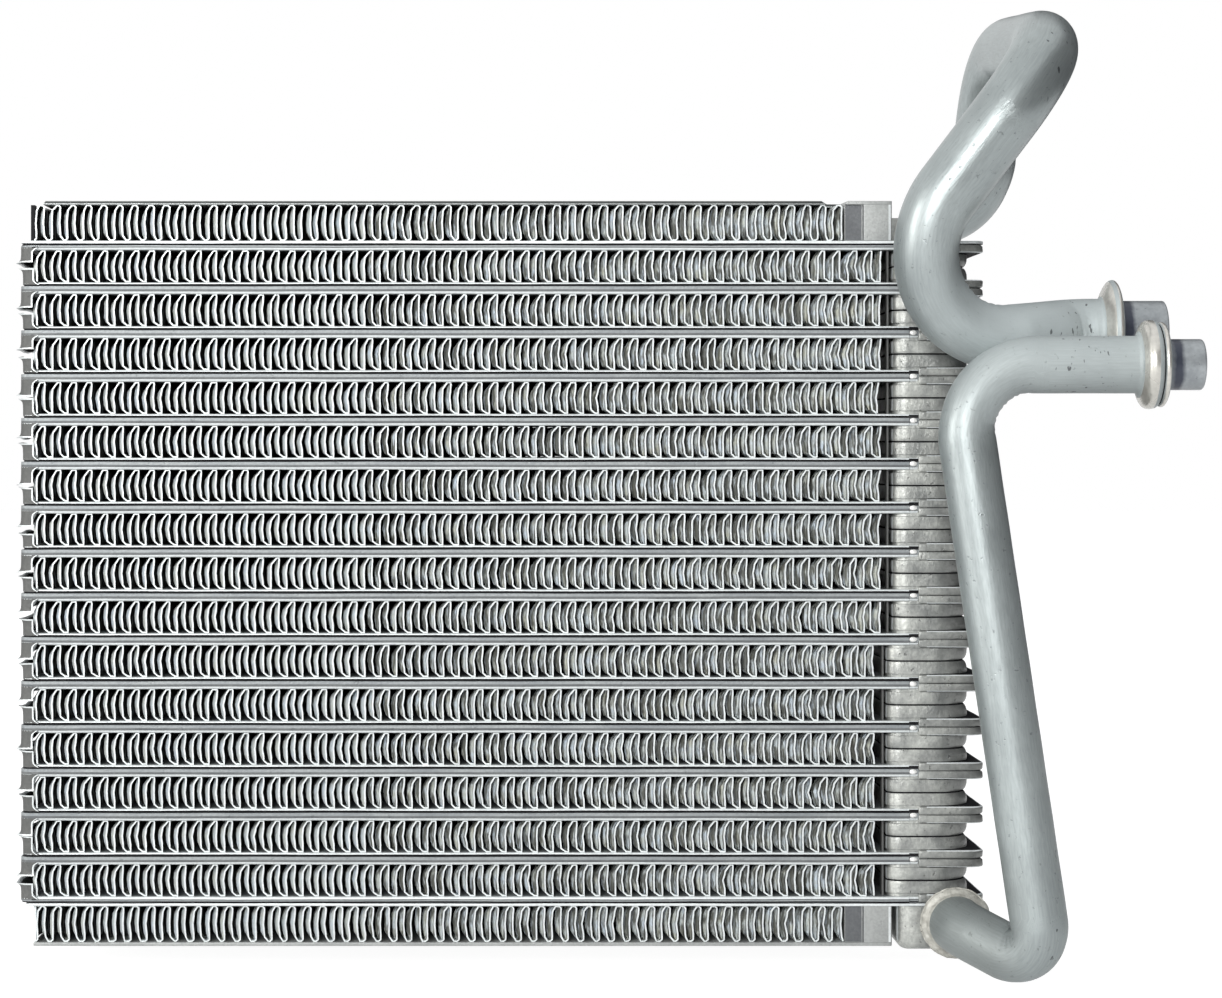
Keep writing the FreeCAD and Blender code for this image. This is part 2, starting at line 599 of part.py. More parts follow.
def beaded_pipe(label, name, points, radii, joint):
    """Pipe along a path whose last run ends in a rolled bead and a pilot."""
    radius = size[name + "_radius"]
    bore = radius - size["pipe_wall"]
    bead_left = size[name + "_bead_left"]
    crest = bead_left + size[name + "_bead_flank"]
    shoulder = bead_left + size[name + "_bead_width"]
    bead = size[name + "_bead_radius"]
    pilot = size[name + "_pilot_radius"]
    tip = shoulder + size[name + "_pilot_length"]
    chamfer = size["pilot_chamfer"]
    edge = size["bead_edge"]
    pilot_bore = pilot - size["pipe_wall"]
    path = bent_path(points, radii)
    tube = swept(path, radius).cut(swept(path, bore))
    outline_points = [
        (joint, bore), (joint, radius), (bead_left, radius),
        (crest - edge, bead - edge), (crest, bead),
        (shoulder - edge, bead), (shoulder, bead - edge), (shoulder, pilot),
        (tip - chamfer, pilot), (tip, pilot - chamfer), (tip, pilot_bore),
        (crest, pilot_bore), (bead_left, bore),
    ]
    corners = [V(x, 0, r) for x, r in outline_points]
    profile = Part.Face(Part.makePolygon(corners + [corners[0]]))
    end = profile.revolve(V(0, 0, 0), V(1, 0, 0), 360)
    end.translate(V(0, points[-1].y, points[-1].z))
    item = doc.addObject("Part::Feature", label)
    item.Label = label
    item.Shape = tube.fuse(end).removeSplitter()
    seat(item, ZERO)


def collar(label, radius, bore, role, across, up, level, length):
    """Ring around a pipe, on the face of its boss."""
    body = doc.addObject("PartDesign::Body", label)
    body.Label = label
    plan = new_sketch(body, label + "_plan", role, level)
    ring(plan, across, up, radius)
    ring(plan, across, up, bore)
    pad(body, plan, label + "_ring", length)
    seat(body, ZERO)


# Heights of the stack, from the outer face of the bottom side plate
LOWEST = ["side_sheet", "end_fin_rise", "flat_plate"]


def tube_level(number):
    """Height of the middle of a tube, counted from the top."""
    above = float(size["tube_count"] - number)
    return plus(*LOWEST, (above, "tube_pitch"))


def raised(level, *terms):
    """A level with more sizes added."""
    more = plus(*terms)
    return level[0] + more[0], level[1] + " + " + more[1]


top_tube = tube_level(1)
last = int(size["tube_count"])

# Stamped plates: nested pairs, and the single plates of the first and the last tube
upper_form = stamped_form("upper_form", True, True)
lower_form = stamped_form("lower_form", False, True)
single_form = stamped_form("single_form", False, False)
for number in range(1, last + 1):
    level = tube_level(number)
    if number == 1:
        place("tube_01_lower", single_form, level, True)
    elif number == last:
        place("tube_%02d_upper" % number, single_form, level)
    else:
        place("tube_%02d_upper" % number, upper_form, level)
        place("tube_%02d_lower" % number, lower_form, level, True)

flat_end_plate("end_plate_top", "top_plate_left", top_tube,
               "outlet_block_right", "outlet_block_front", "outlet_block_back")
flat_end_plate("end_plate_bottom", "bottom_plate_left", raised(tube_level(last), "-flat_plate"),
               "inlet_block_right", "-inlet_block_front", "inlet_block_back")

# Folded fins: one above each tube, one below the last
fin_rise = size["tube_pitch"] - 2 * size["tube_half"]
inner_fin = fin_strip("fin_form", size["fin_right"], fin_rise)
outer_fin = fin_strip("outer_fin_form", size["box_left"] - size["fin_end_gap"], size["end_fin_rise"])
for number in range(1, last + 2):
    label = "fin_%02d" % number
    if number == 1:
        place(label, outer_fin, raised(top_tube, "flat_plate"))
    elif number == last + 1:
        place(label, outer_fin, plus("side_sheet"))
    else:
        place(label, inner_fin, raised(tube_level(number), "tube_half"))

# Side plates
side_plate("side_plate_top", "top_sheet_left", raised(top_tube, "flat_plate"), True)
side_plate("side_plate_bottom", "bottom_sheet_left", plus("side_sheet", "end_fin_rise"), False)

# Inlet block under the front tank, with its boss to the front
base = raised(plus("side_sheet", "end_fin_rise"), "-inlet_block_rise")
block, room = tank_block("tank_inlet", "inlet_block_right", plus("-inlet_block_front"),
                         plus("inlet_block_back"), base, plus("inlet_block_rise"), True)
pocket(block, room, "tank_inlet_room", plus("inlet_block_rise", "-block_wall"))
boss = new_sketch(block, "tank_inlet_boss_plan", "XZ_Plane", plus("inlet_block_front"))
ring(boss, plus("inlet_x"), plus("inlet_z"), plus("inlet_boss"))
pad(block, boss, "tank_inlet_boss", plus("inlet_boss_length"))
socket = new_sketch(block, "tank_inlet_seat_plan", "XZ_Plane",
                    plus("inlet_block_front", "inlet_boss_length"))
ring(socket, plus("inlet_x"), plus("inlet_z"), plus("inlet_radius", "seat_gap"))
pocket(block, socket, "tank_inlet_seat", plus("inlet_seat"))
channel = new_sketch(block, "tank_inlet_channel_plan", "XZ_Plane",
                     plus("inlet_block_front", "inlet_boss_length"))
ring(channel, plus("inlet_x"), plus("inlet_z", "-inlet_channel_drop"), plus("inlet_channel"))
pocket(block, channel, "tank_inlet_channel", plus("inlet_boss_length", (1.5, "block_wall")))
seat(block, ZERO)

# Outlet block on the rear tank, with its boss to the right
roof = plus("stack_rise")
outlet_axis = plus("outlet_z")
block, room = tank_block("tank_outlet", "outlet_block_right", plus("outlet_block_front"),
                         plus("outlet_block_back"), roof, plus("outlet_block_rise"), False)
boss = new_sketch(block, "tank_outlet_boss_plan", "YZ_Plane", plus("outlet_boss_left"))
ring(boss, plus("outlet_y"), outlet_axis, plus("outlet_boss"))
pad(block, boss, "tank_outlet_boss", plus("outlet_boss_right", "-outlet_boss_left"))
pocket(block, room, "tank_outlet_room", plus("outlet_block_rise", "-block_wall"), True)
channel = new_sketch(block, "tank_outlet_channel_plan", "YZ_Plane", plus("outlet_boss_right"))
ring(channel, plus("outlet_y"), outlet_axis, plus("outlet_channel"))
pocket(block, channel, "tank_outlet_channel", plus("outlet_boss_right", "-outlet_channel_left"))
socket = new_sketch(block, "tank_outlet_seat_plan", "YZ_Plane", plus("outlet_boss_right"))
ring(socket, plus("outlet_y"), outlet_axis, plus("outlet_radius", "seat_gap"))
pocket(block, socket, "tank_outlet_seat", plus("outlet_seat"))
seat(block, ZERO)

# Collars on both bosses
collar("collar_inlet", plus("inlet_collar"), plus("inlet_radius", "seat_gap"), "XZ_Plane",
       plus("inlet_x"), plus("inlet_z"), plus("inlet_block_front", "inlet_boss_length"),
       plus("collar_thick"))
collar("collar_outlet", plus("outlet_collar"), plus("outlet_radius", "seat_gap"), "YZ_Plane",
       plus("outlet_y"), outlet_axis, plus("outlet_boss_right"), plus("collar_thick"))

# Inlet pipe: out of its boss to the front, down and round, up the tanks, then to the right
front_face = -(size["inlet_block_front"] + size["inlet_boss_length"])
inlet_joint = size["inlet_bead_left"] - size["inlet_end_run"]
inlet_points = [
    V(size["inlet_x"], front_face + size["inlet_seat"], size["inlet_z"]),
    V(size["inlet_x"], -size["inlet_run"], size["inlet_z"]),
    V(size["inlet_knee_x"], size["inlet_knee_y"], size["inlet_knee_z"]),
    V(size["inlet_top_x"], size["inlet_end_y"], size["inlet_end_z"]),
    V(inlet_joint, size["inlet_end_y"], size["inlet_end_z"]),
]
beaded_pipe("pipe_inlet", "inlet", inlet_points,
            [size["inlet_bend_small"], size["inlet_bend_small"], size["inlet_bend_top"]], inlet_joint)

# Outlet pipe: right out of its boss, up, over the tanks to the front, down, then to the right
outlet_joint = size["outlet_bead_left"] - size["outlet_end_run"]
outlet_start = size["outlet_boss_right"] - size["outlet_seat"]
outlet_points = [
    V(outlet_start, size["outlet_y"], outlet_axis[0]),
    V(size["outlet_boss_right"] + size["outlet_run"], size["outlet_y"], outlet_axis[0]),
    V(size["outlet_crown_x"], size["outlet_crown_y"], size["outlet_crown_z"]),
    V(size["outlet_hump_x"], size["outlet_hump_y"], size["outlet_hump_z"]),
    V(size["outlet_low_x"], size["outlet_low_y"], size["outlet_low_z"]),
    V(size["outlet_jog_x"], size["outlet_jog_y"], size["outlet_jog_z"]),
    V(size["outlet_jog_end"], size["outlet_end_y"], size["outlet_end_z"]),
    V(outlet_joint, size["outlet_end_y"], size["outlet_end_z"]),
]
outlet_radii = [
    size["outlet_bend_first"], size["outlet_bend_top"], size["outlet_bend_top"],
    size["outlet_bend_low"], size["outlet_bend_jog"], size["outlet_bend_jog"],
]
beaded_pipe("pipe_outlet", "outlet", outlet_points, outlet_radii, outlet_joint)

# Every object must have recomputed, and every sub-part must be one valid solid
doc.recompute()
for item in doc.Objects:
    if "Invalid" in item.State or "Error" in item.State:
        failures.append("%s did not recompute" % item.Label)
for item in parts:
    if item.Shape.isNull() or not item.Shape.isValid():
        failures.append("%s has no valid shape" % item.Label)
    elif len(item.Shape.Solids) != 1:
        failures.append("%s has %d solids" % (item.Label, len(item.Shape.Solids)))
if failures:
    raise RuntimeError("; ".join(failures))

os.makedirs("parts", exist_ok=True)
for item in parts:
    item.Shape.exportStep("parts/%s.step" % item.Label)
print("%d parts, %.1f cm3" % (len(parts), sum(item.Shape.Volume for item in parts) / 1000))
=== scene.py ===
import math
import random

import bmesh
import bpy
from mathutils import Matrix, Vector
from mathutils.noise import noise as noise_at


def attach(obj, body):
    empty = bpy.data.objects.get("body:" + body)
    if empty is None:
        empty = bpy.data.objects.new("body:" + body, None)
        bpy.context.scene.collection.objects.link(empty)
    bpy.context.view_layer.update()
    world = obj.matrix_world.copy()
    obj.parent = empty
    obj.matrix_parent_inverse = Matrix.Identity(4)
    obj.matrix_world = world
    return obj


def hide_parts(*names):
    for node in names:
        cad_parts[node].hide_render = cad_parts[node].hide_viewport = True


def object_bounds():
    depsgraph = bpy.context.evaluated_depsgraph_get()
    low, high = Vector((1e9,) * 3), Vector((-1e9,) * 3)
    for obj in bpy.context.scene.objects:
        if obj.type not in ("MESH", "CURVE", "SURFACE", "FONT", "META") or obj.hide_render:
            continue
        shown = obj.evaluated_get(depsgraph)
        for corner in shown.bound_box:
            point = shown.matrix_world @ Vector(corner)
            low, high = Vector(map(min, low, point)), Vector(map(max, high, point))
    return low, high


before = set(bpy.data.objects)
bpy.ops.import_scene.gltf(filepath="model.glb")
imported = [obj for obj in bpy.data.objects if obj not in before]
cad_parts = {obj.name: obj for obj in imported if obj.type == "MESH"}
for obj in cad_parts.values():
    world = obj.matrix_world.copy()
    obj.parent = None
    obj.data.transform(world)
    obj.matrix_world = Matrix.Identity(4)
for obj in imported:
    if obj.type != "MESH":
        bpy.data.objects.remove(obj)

cad_low, cad_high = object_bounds()

# Sizes of the core in millimetres
FRONT = -44.5
BACK = 44.5
DEPTH = BACK - FRONT
PITCH = 12.5
TUBES = 16
TUBE_HALF = 1.7
FLAT = 1.0
END_RISE = 10.3
SHEET_RISE = 1.0
NEST = 0.55
LEFT = -125.0
TUBE_CORNER = 3.2
TANK_LEFT = 131.0
TANK_RIGHT = 149.8
CUP_LEFT = 123.7
CUP_RIGHT = 146.2
CUP_FRONT = 0.6
CUP_LENGTH = 41.4
FIN_HALF = 120.5
FIN_INSET = 1.0
FIN_PITCH = 4.46
STRIP_X = 122.4
LOWEST_TUBE = SHEET_RISE + END_RISE + FLAT
TOP_TUBE = LOWEST_TUBE + (TUBES - 1) * PITCH
TOP_PLATE = TOP_TUBE + FLAT
BOX_LEFT = 110.0
SHEET_RIGHT = 123.4
BLOCK_LEFT = 124.8
BOSS_X = 138.4
INLET_X, INLET_Z = 141.2, 7.0
OUTLET_Y, OUTLET_Z = FRONT + 66.0, TOP_PLATE + 11.2
INLET_RADIUS = 7.94
OUTLET_RADIUS = 9.525

# In the lower rows the cups begin further left and the fins end sooner, as in the photo
FIRST_SHORT_ROW = 11
LOW_CUP_LEFT = 122.0
SHORT_FIN_RIGHT = 118.8
LOW_STRIP_X = 121.0

# The flared plate ends reach no further left than this, inside the solids' box
FLARE_LIMIT = -126.38

# Where the pipes show wear and painted light, in metres: matt from rubbing on the straight runs, with
# painted light on their lower part, scratched, painted shade at the low elbow
RUBBED_LIT_X = (0.127, 0.147)
RUBBED_LIT_FROM_Z = (0.142, 0.158)
RUBBED_LIT_TO_Z = (0.186, 0.198)
PALE_Z = (0.164, 0.176)
SCRATCHED_FROM_X = (0.161, 0.163)
SCRATCHED_TO_X = (0.179, 0.181)
SHADED_ELBOW_X = (0.148, 0.158)
SHADED_ELBOW_Z = (0.018, 0.035)

# Half a louvre's pitch, and where the painted shade streaks between the louvres fade behind the lips in
# painted highlight, in metres
LOUVRE = 0.0013
STREAK_END_Y = (0.0418, 0.0428)


def tube_level(number):
    """Height of the middle of a tube, counted from the top."""
    return LOWEST_TUBE + (TUBES - number) * PITCH


class Shell:
    """Vertices and faces of one piece in millimetres, each face in one of the piece's materials."""

    def __init__(self, *materials):
        self.verts = []
        self.faces = []
        self.tones = []
        self.materials = materials

    def face(self, corners, material):
        """Add one face."""
        self.faces.append(corners)
        self.tones.append(self.materials.index(material))

    def loft(self, loops, tone=None):
        """Join loops of equally many points, and cap both ends.

        The tone is a material, the first one unless given, or a function that returns it from the level
        and from a face's first point.
        """
        base = len(self.verts)
        count = len(loops[0])

        def pick(level, first):
            return tone(level, self.verts[first]) if callable(tone) else tone or self.materials[0]

        for loop in loops:
            self.verts.extend(loop)
        for level in range(len(loops) - 1):
            low = base + level * count
            high = low + count
            for step in range(count):
                nxt = (step + 1) % count
                self.face((low + step, low + nxt, high + nxt, high + step), pick(level, low + step))
        self.face(tuple(range(base + count - 1, base - 1, -1)), pick(-1, base))
        end = base + (len(loops) - 1) * count
        self.face(tuple(range(end, end + count)), pick(len(loops) - 1, end))

    def piece(self, name, replaced, angle=38.0, bevel=0.0):
        """Make the object, tie it to the body and let it stand for the nodes."""
        mesh = bpy.data.meshes.new(name)
        mesh.from_pydata([(x * 0.001, y * 0.001, z * 0.001) for x, y, z in self.verts], [], self.faces)
        mesh.polygons.foreach_set("material_index", self.tones)
        work = bmesh.new()
        work.from_mesh(mesh)
        bmesh.ops.remove_doubles(work, verts=work.verts, dist=1e-6)
        bmesh.ops.recalc_face_normals(work, faces=work.faces)
        if bevel:
            sharp = [e for e in work.edges if e.is_manifold and e.calc_face_angle(0.0) > math.radians(30)]
            bmesh.ops.bevel(work, geom=sharp, offset=bevel * 0.001, segments=3, profile=0.6,
                            affect="EDGES", clamp_overlap=True)
        work.to_mesh(mesh)
        work.free()
        mesh.shade_smooth()
        mesh.set_sharp_from_angle(angle=math.radians(angle))
        item = bpy.data.objects.new(name, mesh)
        bpy.context.scene.collection.objects.link(item)
        for material in self.materials:
            item.data.materials.append(material)
        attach(item, "root")
        if replaced:
            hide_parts(*replaced)
        return item


def plan(x0, x1, y0, y1, radii, inset=0.0, xs=(), nx=1, ny=1, arc=5):
    """Points of a rounded rectangle, moved in by inset, with the same count for every inset."""
    corners = ((x0, y0, radii[0], 1, 1), (x1, y0, radii[1], -1, 1),
               (x1, y1, radii[2], -1, -1), (x0, y1, radii[3], 1, -1))
    arcs = []
    for index, (x, y, radius, sx, sy) in enumerate(corners):
        r = max(radius - inset, 0.03)
        cx = x + sx * (inset + r)
        cy = y + sy * (inset + r)
        begin = math.pi + index * math.pi / 2
        arcs.append([(cx + r * math.cos(begin + k * math.pi / 2 / arc),
                      cy + r * math.sin(begin + k * math.pi / 2 / arc)) for k in range(arc + 1)])
    points = []
    for index in range(4):
        points.extend(arcs[index])
        start = arcs[index][-1]
        end = arcs[(index + 1) % 4][0]
        if index % 2 == 0 and xs:
            for x in (xs if index == 0 else xs[::-1]):
                points.append((x, start[1]))
            continue
        pieces = nx if index % 2 == 0 else ny
        for k in range(1, pieces):
            f = k / pieces
            points.append((start[0] + (end[0] - start[0]) * f, start[1] + (end[1] - start[1]) * f))
    return points


def ripple(x, seed, size):
    """Small smooth wander along a sheet edge."""
    return size * (math.sin(x * 0.061 + seed * 1.7) + 0.6 * math.sin(x * 0.173 + seed * 4.1)
                   + 0.35 * math.sin(x * 0.41 + seed * 2.3))


def lathe(shell, profile, origin, along, segments, wobble, seed):
    """Turn (distance, radius) pairs about an axis."""
    axis = Vector(along).normalized()
    side = axis.orthogonal().normalized()
    other = axis.cross(side)
    rng = random.Random(seed)
    phases = [rng.uniform(0, math.tau) for _ in range(6)]
    loops = []
    for level, (distance, radius) in enumerate(profile):
        loop = []
        for k in range(segments):
            angle = math.tau * k / segments
            push = sum(math.sin(angle * (n + 2) + phases[n] + level * 0.7 * (n % 2)) / (n + 2)
                       for n in range(6)) * wobble
            point = (Vector(origin) + axis * distance
                     + (side * math.cos(angle) + other * math.sin(angle)) * (radius + push))
            loop.append(tuple(point))
        loops.append(loop)
    shell.loft(loops)


# Materials: bare aluminium in its different states, and lighter and darker copies of it that paint
# highlights and shade
def ramp(tree, source, dark, light):
    """Two tones with a soft change from one to the other."""
    item = tree.nodes.new("ShaderNodeValToRGB")
    for element, position, colour in zip(item.color_ramp.elements, (0.32, 0.68), (dark, light)):
        element.position = position
        element.color = (*colour, 1.0)
    tree.links.new(source, item.inputs[0])
    return item.outputs[0]


def remap(tree, source, low, high, start=0.35, end=0.65):
    """Map a value range to another."""
    item = tree.nodes.new("ShaderNodeMapRange")
    item.inputs[1].default_value = start
    item.inputs[2].default_value = end
    item.inputs[3].default_value = low
    item.inputs[4].default_value = high
    tree.links.new(source, item.inputs[0])
    return item.outputs[0]


def rising(tree, source, start, end, most=1.0):
    """Zero before the start, the most past the end."""
    return remap(tree, source, 0.0, most, start, end)


def falling(tree, source, start, end, most=1.0):
    """The most before the start, zero past the end."""
    return remap(tree, source, most, 0.0, start, end)


def noise(tree, coords, scale, detail, rough, stretch=None):
    """Noise at a scale per metre, stretched if asked."""
    if stretch:
        mapping = tree.nodes.new("ShaderNodeMapping")
        mapping.inputs["Scale"].default_value = stretch
        tree.links.new(coords, mapping.inputs["Vector"])
        coords = mapping.outputs[0]
    item = tree.nodes.new("ShaderNodeTexNoise")
    item.inputs["Scale"].default_value = scale
    item.inputs["Detail"].default_value = detail
    item.inputs["Roughness"].default_value = rough
    tree.links.new(coords, item.inputs["Vector"])
    return item.outputs[0]


def mix(tree, factor, first, second):
    """Mix two colours by a socket; the second is a plain colour."""
    item = tree.nodes.new("ShaderNodeMix")
    item.data_type = "RGBA"
    tree.links.new(factor, item.inputs[0])
    tree.links.new(first, item.inputs[6])
    item.inputs[7].default_value = (*second, 1.0)
    return item.outputs[2]


def math_node(tree, kind, first, second=None):
    """Arithmetic on sockets or numbers."""
    item = tree.nodes.new("ShaderNodeMath")
    item.operation = kind
    for index, value in enumerate((first, second)):
        if value is None:
            continue
        if isinstance(value, bpy.types.NodeSocket):
            tree.links.new(value, item.inputs[index])
        else:
            item.inputs[index].default_value = value
    return item.outputs[0]


def product(tree, *factors):
    """Product of sockets or numbers."""
    result = factors[0]
    for factor in factors[1:]:
        result = math_node(tree, "MULTIPLY", result, factor)
    return result


def dark_tone(colour, part):
    """The same hue, darker."""
    return tuple(channel * part for channel in colour)


def metal(name, dark, light, metallic, rough, patch, grain, bump, pits=0.0, stretch=None, uv=False,
          gloss=0.5, deep=None, slats=0.0, dull=None, band=None, wear_and_painted_light=False, painted_shade_x=None):
    """Bare metal in patches of two tones, with fine grain and pits.

    deep: distances in mm from the middle between which the painted shade deep inside lightens outwards, and
    its dark tone.
    slats: height in mm of the louvres' relief, with dark streaks of painted shade between them.
    dull: two heights in metres between which added roughness fades out, and how much is added.
    band: both ends of a ring of painted shadow along X in metres, and its tone.
    painted_shade_x: where along X in metres it darkens, a painted shade. wear_and_painted_light: with the
    wear of the pipes, painted light on their matt straight runs and painted shade at the low elbow.
    """
    material = bpy.data.materials.new(name)
    material.use_nodes = True
    tree = material.node_tree
    shader = tree.nodes["Principled BSDF"]
    source = tree.nodes.new("ShaderNodeTexCoord")
    place = source.outputs["Object"]
    split = tree.nodes.new("ShaderNodeSeparateXYZ")
    tree.links.new(place, split.inputs[0])
    x, y, z = split.outputs
    broad = noise(tree, place, patch, 4.0, 0.55)
    fine = noise(tree, source.outputs["UV"] if uv else place, grain, 2.0, 0.6, stretch)
    colour = ramp(tree, broad, dark, light)
    colour = mix(tree, remap(tree, fine, 0.0, 0.35), colour, dark_tone(dark, 0.72))
    height = fine
    if pits:
        spot = rising(tree, noise(tree, place, 620.0, 2.0, 0.65), 0.66, 0.72)
        colour = mix(tree, product(tree, spot, pits), colour, dark_tone(dark, 0.25))
        height = math_node(tree, "SUBTRACT", fine, spot)
    # Painted shade: darker towards the right end along X
    if painted_shade_x:
        colour = mix(tree, rising(tree, x, *painted_shade_x, 0.7), colour, dark_tone(dark, 0.45))
    # Painted shadow: a dark ring along X, as the bead casts on the pilot
    if band:
        start, end, tone = band
        wander = remap(tree, noise(tree, place, 260.0, 3.0, 0.6), -0.0003, 0.0003, 0.3, 0.7)
        across = math_node(tree, "ADD", x, wander)
        ring = product(tree, falling(tree, across, end - 0.0003, end + 0.0009),
                       remap(tree, across, 0.45, 1.0, start - 0.0009, start + 0.0004))
        colour = mix(tree, ring, colour, tone)
    if wear_and_painted_light:
        # The matt region of the straight runs, which also bounds the painted light
        rubbed_and_lit = product(tree, rising(tree, x, *RUBBED_LIT_X), rising(tree, z, *RUBBED_LIT_FROM_Z),
                         falling(tree, z, *RUBBED_LIT_TO_Z))
        # Painted light: paler on the lower part of the matt straight runs
        pale = product(tree, rubbed_and_lit, remap(tree, z, 0.2, 0.75, *PALE_Z))
        colour = mix(tree, pale, colour, (0.50, 0.555, 0.565))
        scratch = rising(tree, noise(tree, place, 520.0, 2.0, 0.6, (1.0, 1.0, 0.45)), 0.655, 0.69, 0.75)
        scratch = product(tree, scratch, rising(tree, x, *SCRATCHED_FROM_X),
                          falling(tree, x, *SCRATCHED_TO_X))
        colour = mix(tree, scratch, colour, (0.03, 0.03, 0.035))
        # Painted shade: darker on the low elbow beside the tank
        elbow_shade = product(tree, falling(tree, x, *SHADED_ELBOW_X, 0.4), falling(tree, z, *SHADED_ELBOW_Z))
        colour = mix(tree, elbow_shade, colour, (0.13, 0.14, 0.13))
    inward = math_node(tree, "ABSOLUTE", y) if deep or slats else None
    # Painted shade: darker deep inside, away from the front and back faces
    if deep:
        start, end, tone = deep
        colour = mix(tree, falling(tree, inward, start * 0.001, end * 0.001), colour, tone)
    if slats:
        # Painted shade: dark streaks between the louvres, fading out near the faces
        streak = rising(tree, noise(tree, place, 430.0, 3.0, 0.68, (0.8, 1.0, 0.3)), 0.45, 0.56, 0.92)
        streak = product(tree, streak, falling(tree, inward, *STREAK_END_Y))
        colour = mix(tree, streak, colour, dark_tone(dark, 0.16))
    tree.links.new(colour, shader.inputs["Base Color"])
    shader.inputs["Metallic"].default_value = metallic
    shader.inputs["Specular IOR Level"].default_value = gloss
    roughness = remap(tree, broad, *rough, 0.3, 0.7)
    if dull:
        roughness = math_node(tree, "ADD", roughness, falling(tree, z, *dull))
    if wear_and_painted_light:
        roughness = math_node(tree, "ADD", roughness, product(tree, rubbed_and_lit, 0.2))
        tree.links.new(math_node(tree, "SUBTRACT", metallic, product(tree, rubbed_and_lit, 0.42)),
                       shader.inputs["Metallic"])
    tree.links.new(roughness, shader.inputs["Roughness"])
    relief = tree.nodes.new("ShaderNodeBump")
    relief.inputs["Strength"].default_value = bump
    relief.inputs["Distance"].default_value = 0.0002
    tree.links.new(height, relief.inputs["Height"])
    if slats:
        folds = tree.nodes.new("ShaderNodeBump")
        folds.inputs["Strength"].default_value = 1.0
        folds.inputs["Distance"].default_value = slats * 0.001
        saw = rising(tree, math_node(tree, "PINGPONG", y, LOUVRE), 0.0, LOUVRE)
        tree.links.new(saw, folds.inputs["Height"])
        tree.links.new(folds.outputs[0], relief.inputs["Normal"])
    tree.links.new(relief.outputs[0], shader.inputs["Normal"])
    return material


# Fin sheet: painted shade deep inside and in streaks between the louvres
FIN = metal("fin_sheet", (0.66, 0.67, 0.58), (0.72, 0.82, 0.93), 0.2, (0.3, 0.42), patch=230.0,
            grain=900.0, bump=0.15, deep=(29.5, 35.5, (0.035, 0.037, 0.04)), slats=0.8)
# Painted light: a lighter copy of the fin sheet for the louvres near the front, at the left
SLAT = metal("slat_painted_light", (0.84, 0.87, 0.82), (0.82, 0.90, 0.97), 0.2, (0.3, 0.42), patch=230.0,
             grain=900.0, bump=0.15)
# Painted highlight: a lighter copy of the sheet for bends, lips, rims and corners
EDGE = metal("edge_painted_highlight", (0.70, 0.74, 0.75), (0.82, 0.86, 0.87), 0.3, (0.35, 0.45), patch=90.0,
             grain=900.0, bump=0.15)
TUBE = metal("tube_sheet", (0.24, 0.26, 0.275), (0.375, 0.40, 0.405), 0.35, (0.38, 0.52), patch=60.0,
             grain=1400.0, bump=0.3, pits=0.25)
# Painted shade: a darker copy of the tube sheet for the lower part of the skirts
LOWER = metal("tube_painted_shade", (0.11, 0.118, 0.125), (0.18, 0.19, 0.193), 0.35, (0.42, 0.55), patch=70.0,
              grain=1400.0, bump=0.3, pits=0.25)
# Dark joints between plates, and painted shade in grooves, on ledges and in the pipes' beads
GROOVE = metal("joint_and_painted_shade", (0.014, 0.014, 0.016), (0.03, 0.03, 0.032), 0.0, (0.6, 0.7), patch=90.0,
               grain=900.0, bump=0.2, gloss=0.05)
# Painted shade: a darker copy of the sheet for the turned-up ends, also used for the fins' side strips
WALL = metal("end_wall_painted_shade", (0.085, 0.088, 0.086), (0.13, 0.132, 0.13), 0.3, (0.5, 0.6), patch=90.0,
             grain=1200.0, bump=0.3, pits=0.2)
# Tank sheet: painted shade towards the cups' right end
TANK = metal("tank_sheet", (0.25, 0.26, 0.255), (0.56, 0.575, 0.545), 0.45, (0.32, 0.46), patch=170.0,
             grain=1200.0, bump=0.6, pits=0.6, painted_shade_x=(0.128, 0.144))
SIDE = metal("side_sheet", (0.30, 0.312, 0.31), (0.425, 0.44, 0.435), 0.4, (0.36, 0.5), patch=50.0,
             grain=1400.0, bump=0.25, pits=0.2)
# Painted shade: a darker copy of the side sheet for the top sheet's front face
SHADE = metal("sheet_painted_shade", (0.05, 0.055, 0.055), (0.09, 0.098, 0.096), 0.2, (0.5, 0.6), patch=60.0,
              grain=1200.0, bump=0.25, gloss=0.2)
# Painted shade: a darker copy of the side sheet for the recessed left part of the box's front
FLANK = metal("box_flank_painted_shade", (0.10, 0.105, 0.112), (0.155, 0.163, 0.172), 0.35, (0.45, 0.55), patch=50.0,
              grain=1200.0, bump=0.25, gloss=0.2)
# Pipe: painted light on the lower part of the straight runs, painted shade at the low elbow, and scratches
PIPE = metal("pipe_tube", (0.315, 0.35, 0.355), (0.405, 0.448, 0.452), 0.6, (0.32, 0.40), patch=45.0,
             grain=700.0, bump=0.25, pits=0.4, stretch=(0.35, 2.5, 1.0), uv=True, dull=(0.0, 0.09, 0.22),
             wear_and_painted_light=True)
# Painted highlight: a lighter, warmer copy for the crests of the pipes' beads
RIDGE = metal("bead_ridge_painted_highlight", (0.55, 0.54, 0.50), (0.68, 0.67, 0.63), 0.6, (0.25, 0.33), patch=60.0,
              grain=700.0, bump=0.2, pits=0.2)
# Pilots: painted shadow in a ring next to each bead
PILOTS = [metal("pilot_" + name, (0.30, 0.325, 0.345), (0.42, 0.45, 0.47), 0.4, (0.36, 0.46), patch=200.0,
                grain=700.0, bump=0.3, pits=0.4, band=(start, end, (0.05, 0.057, 0.08)))
          for name, start, end in (("inlet", 0.1966, 0.1988), ("outlet", 0.1880, 0.1906))]
BRAZE = metal("braze_metal", (0.36, 0.355, 0.32), (0.62, 0.615, 0.57), 0.25, (0.45, 0.65), patch=420.0,
              grain=900.0, bump=0.9, pits=0.7)
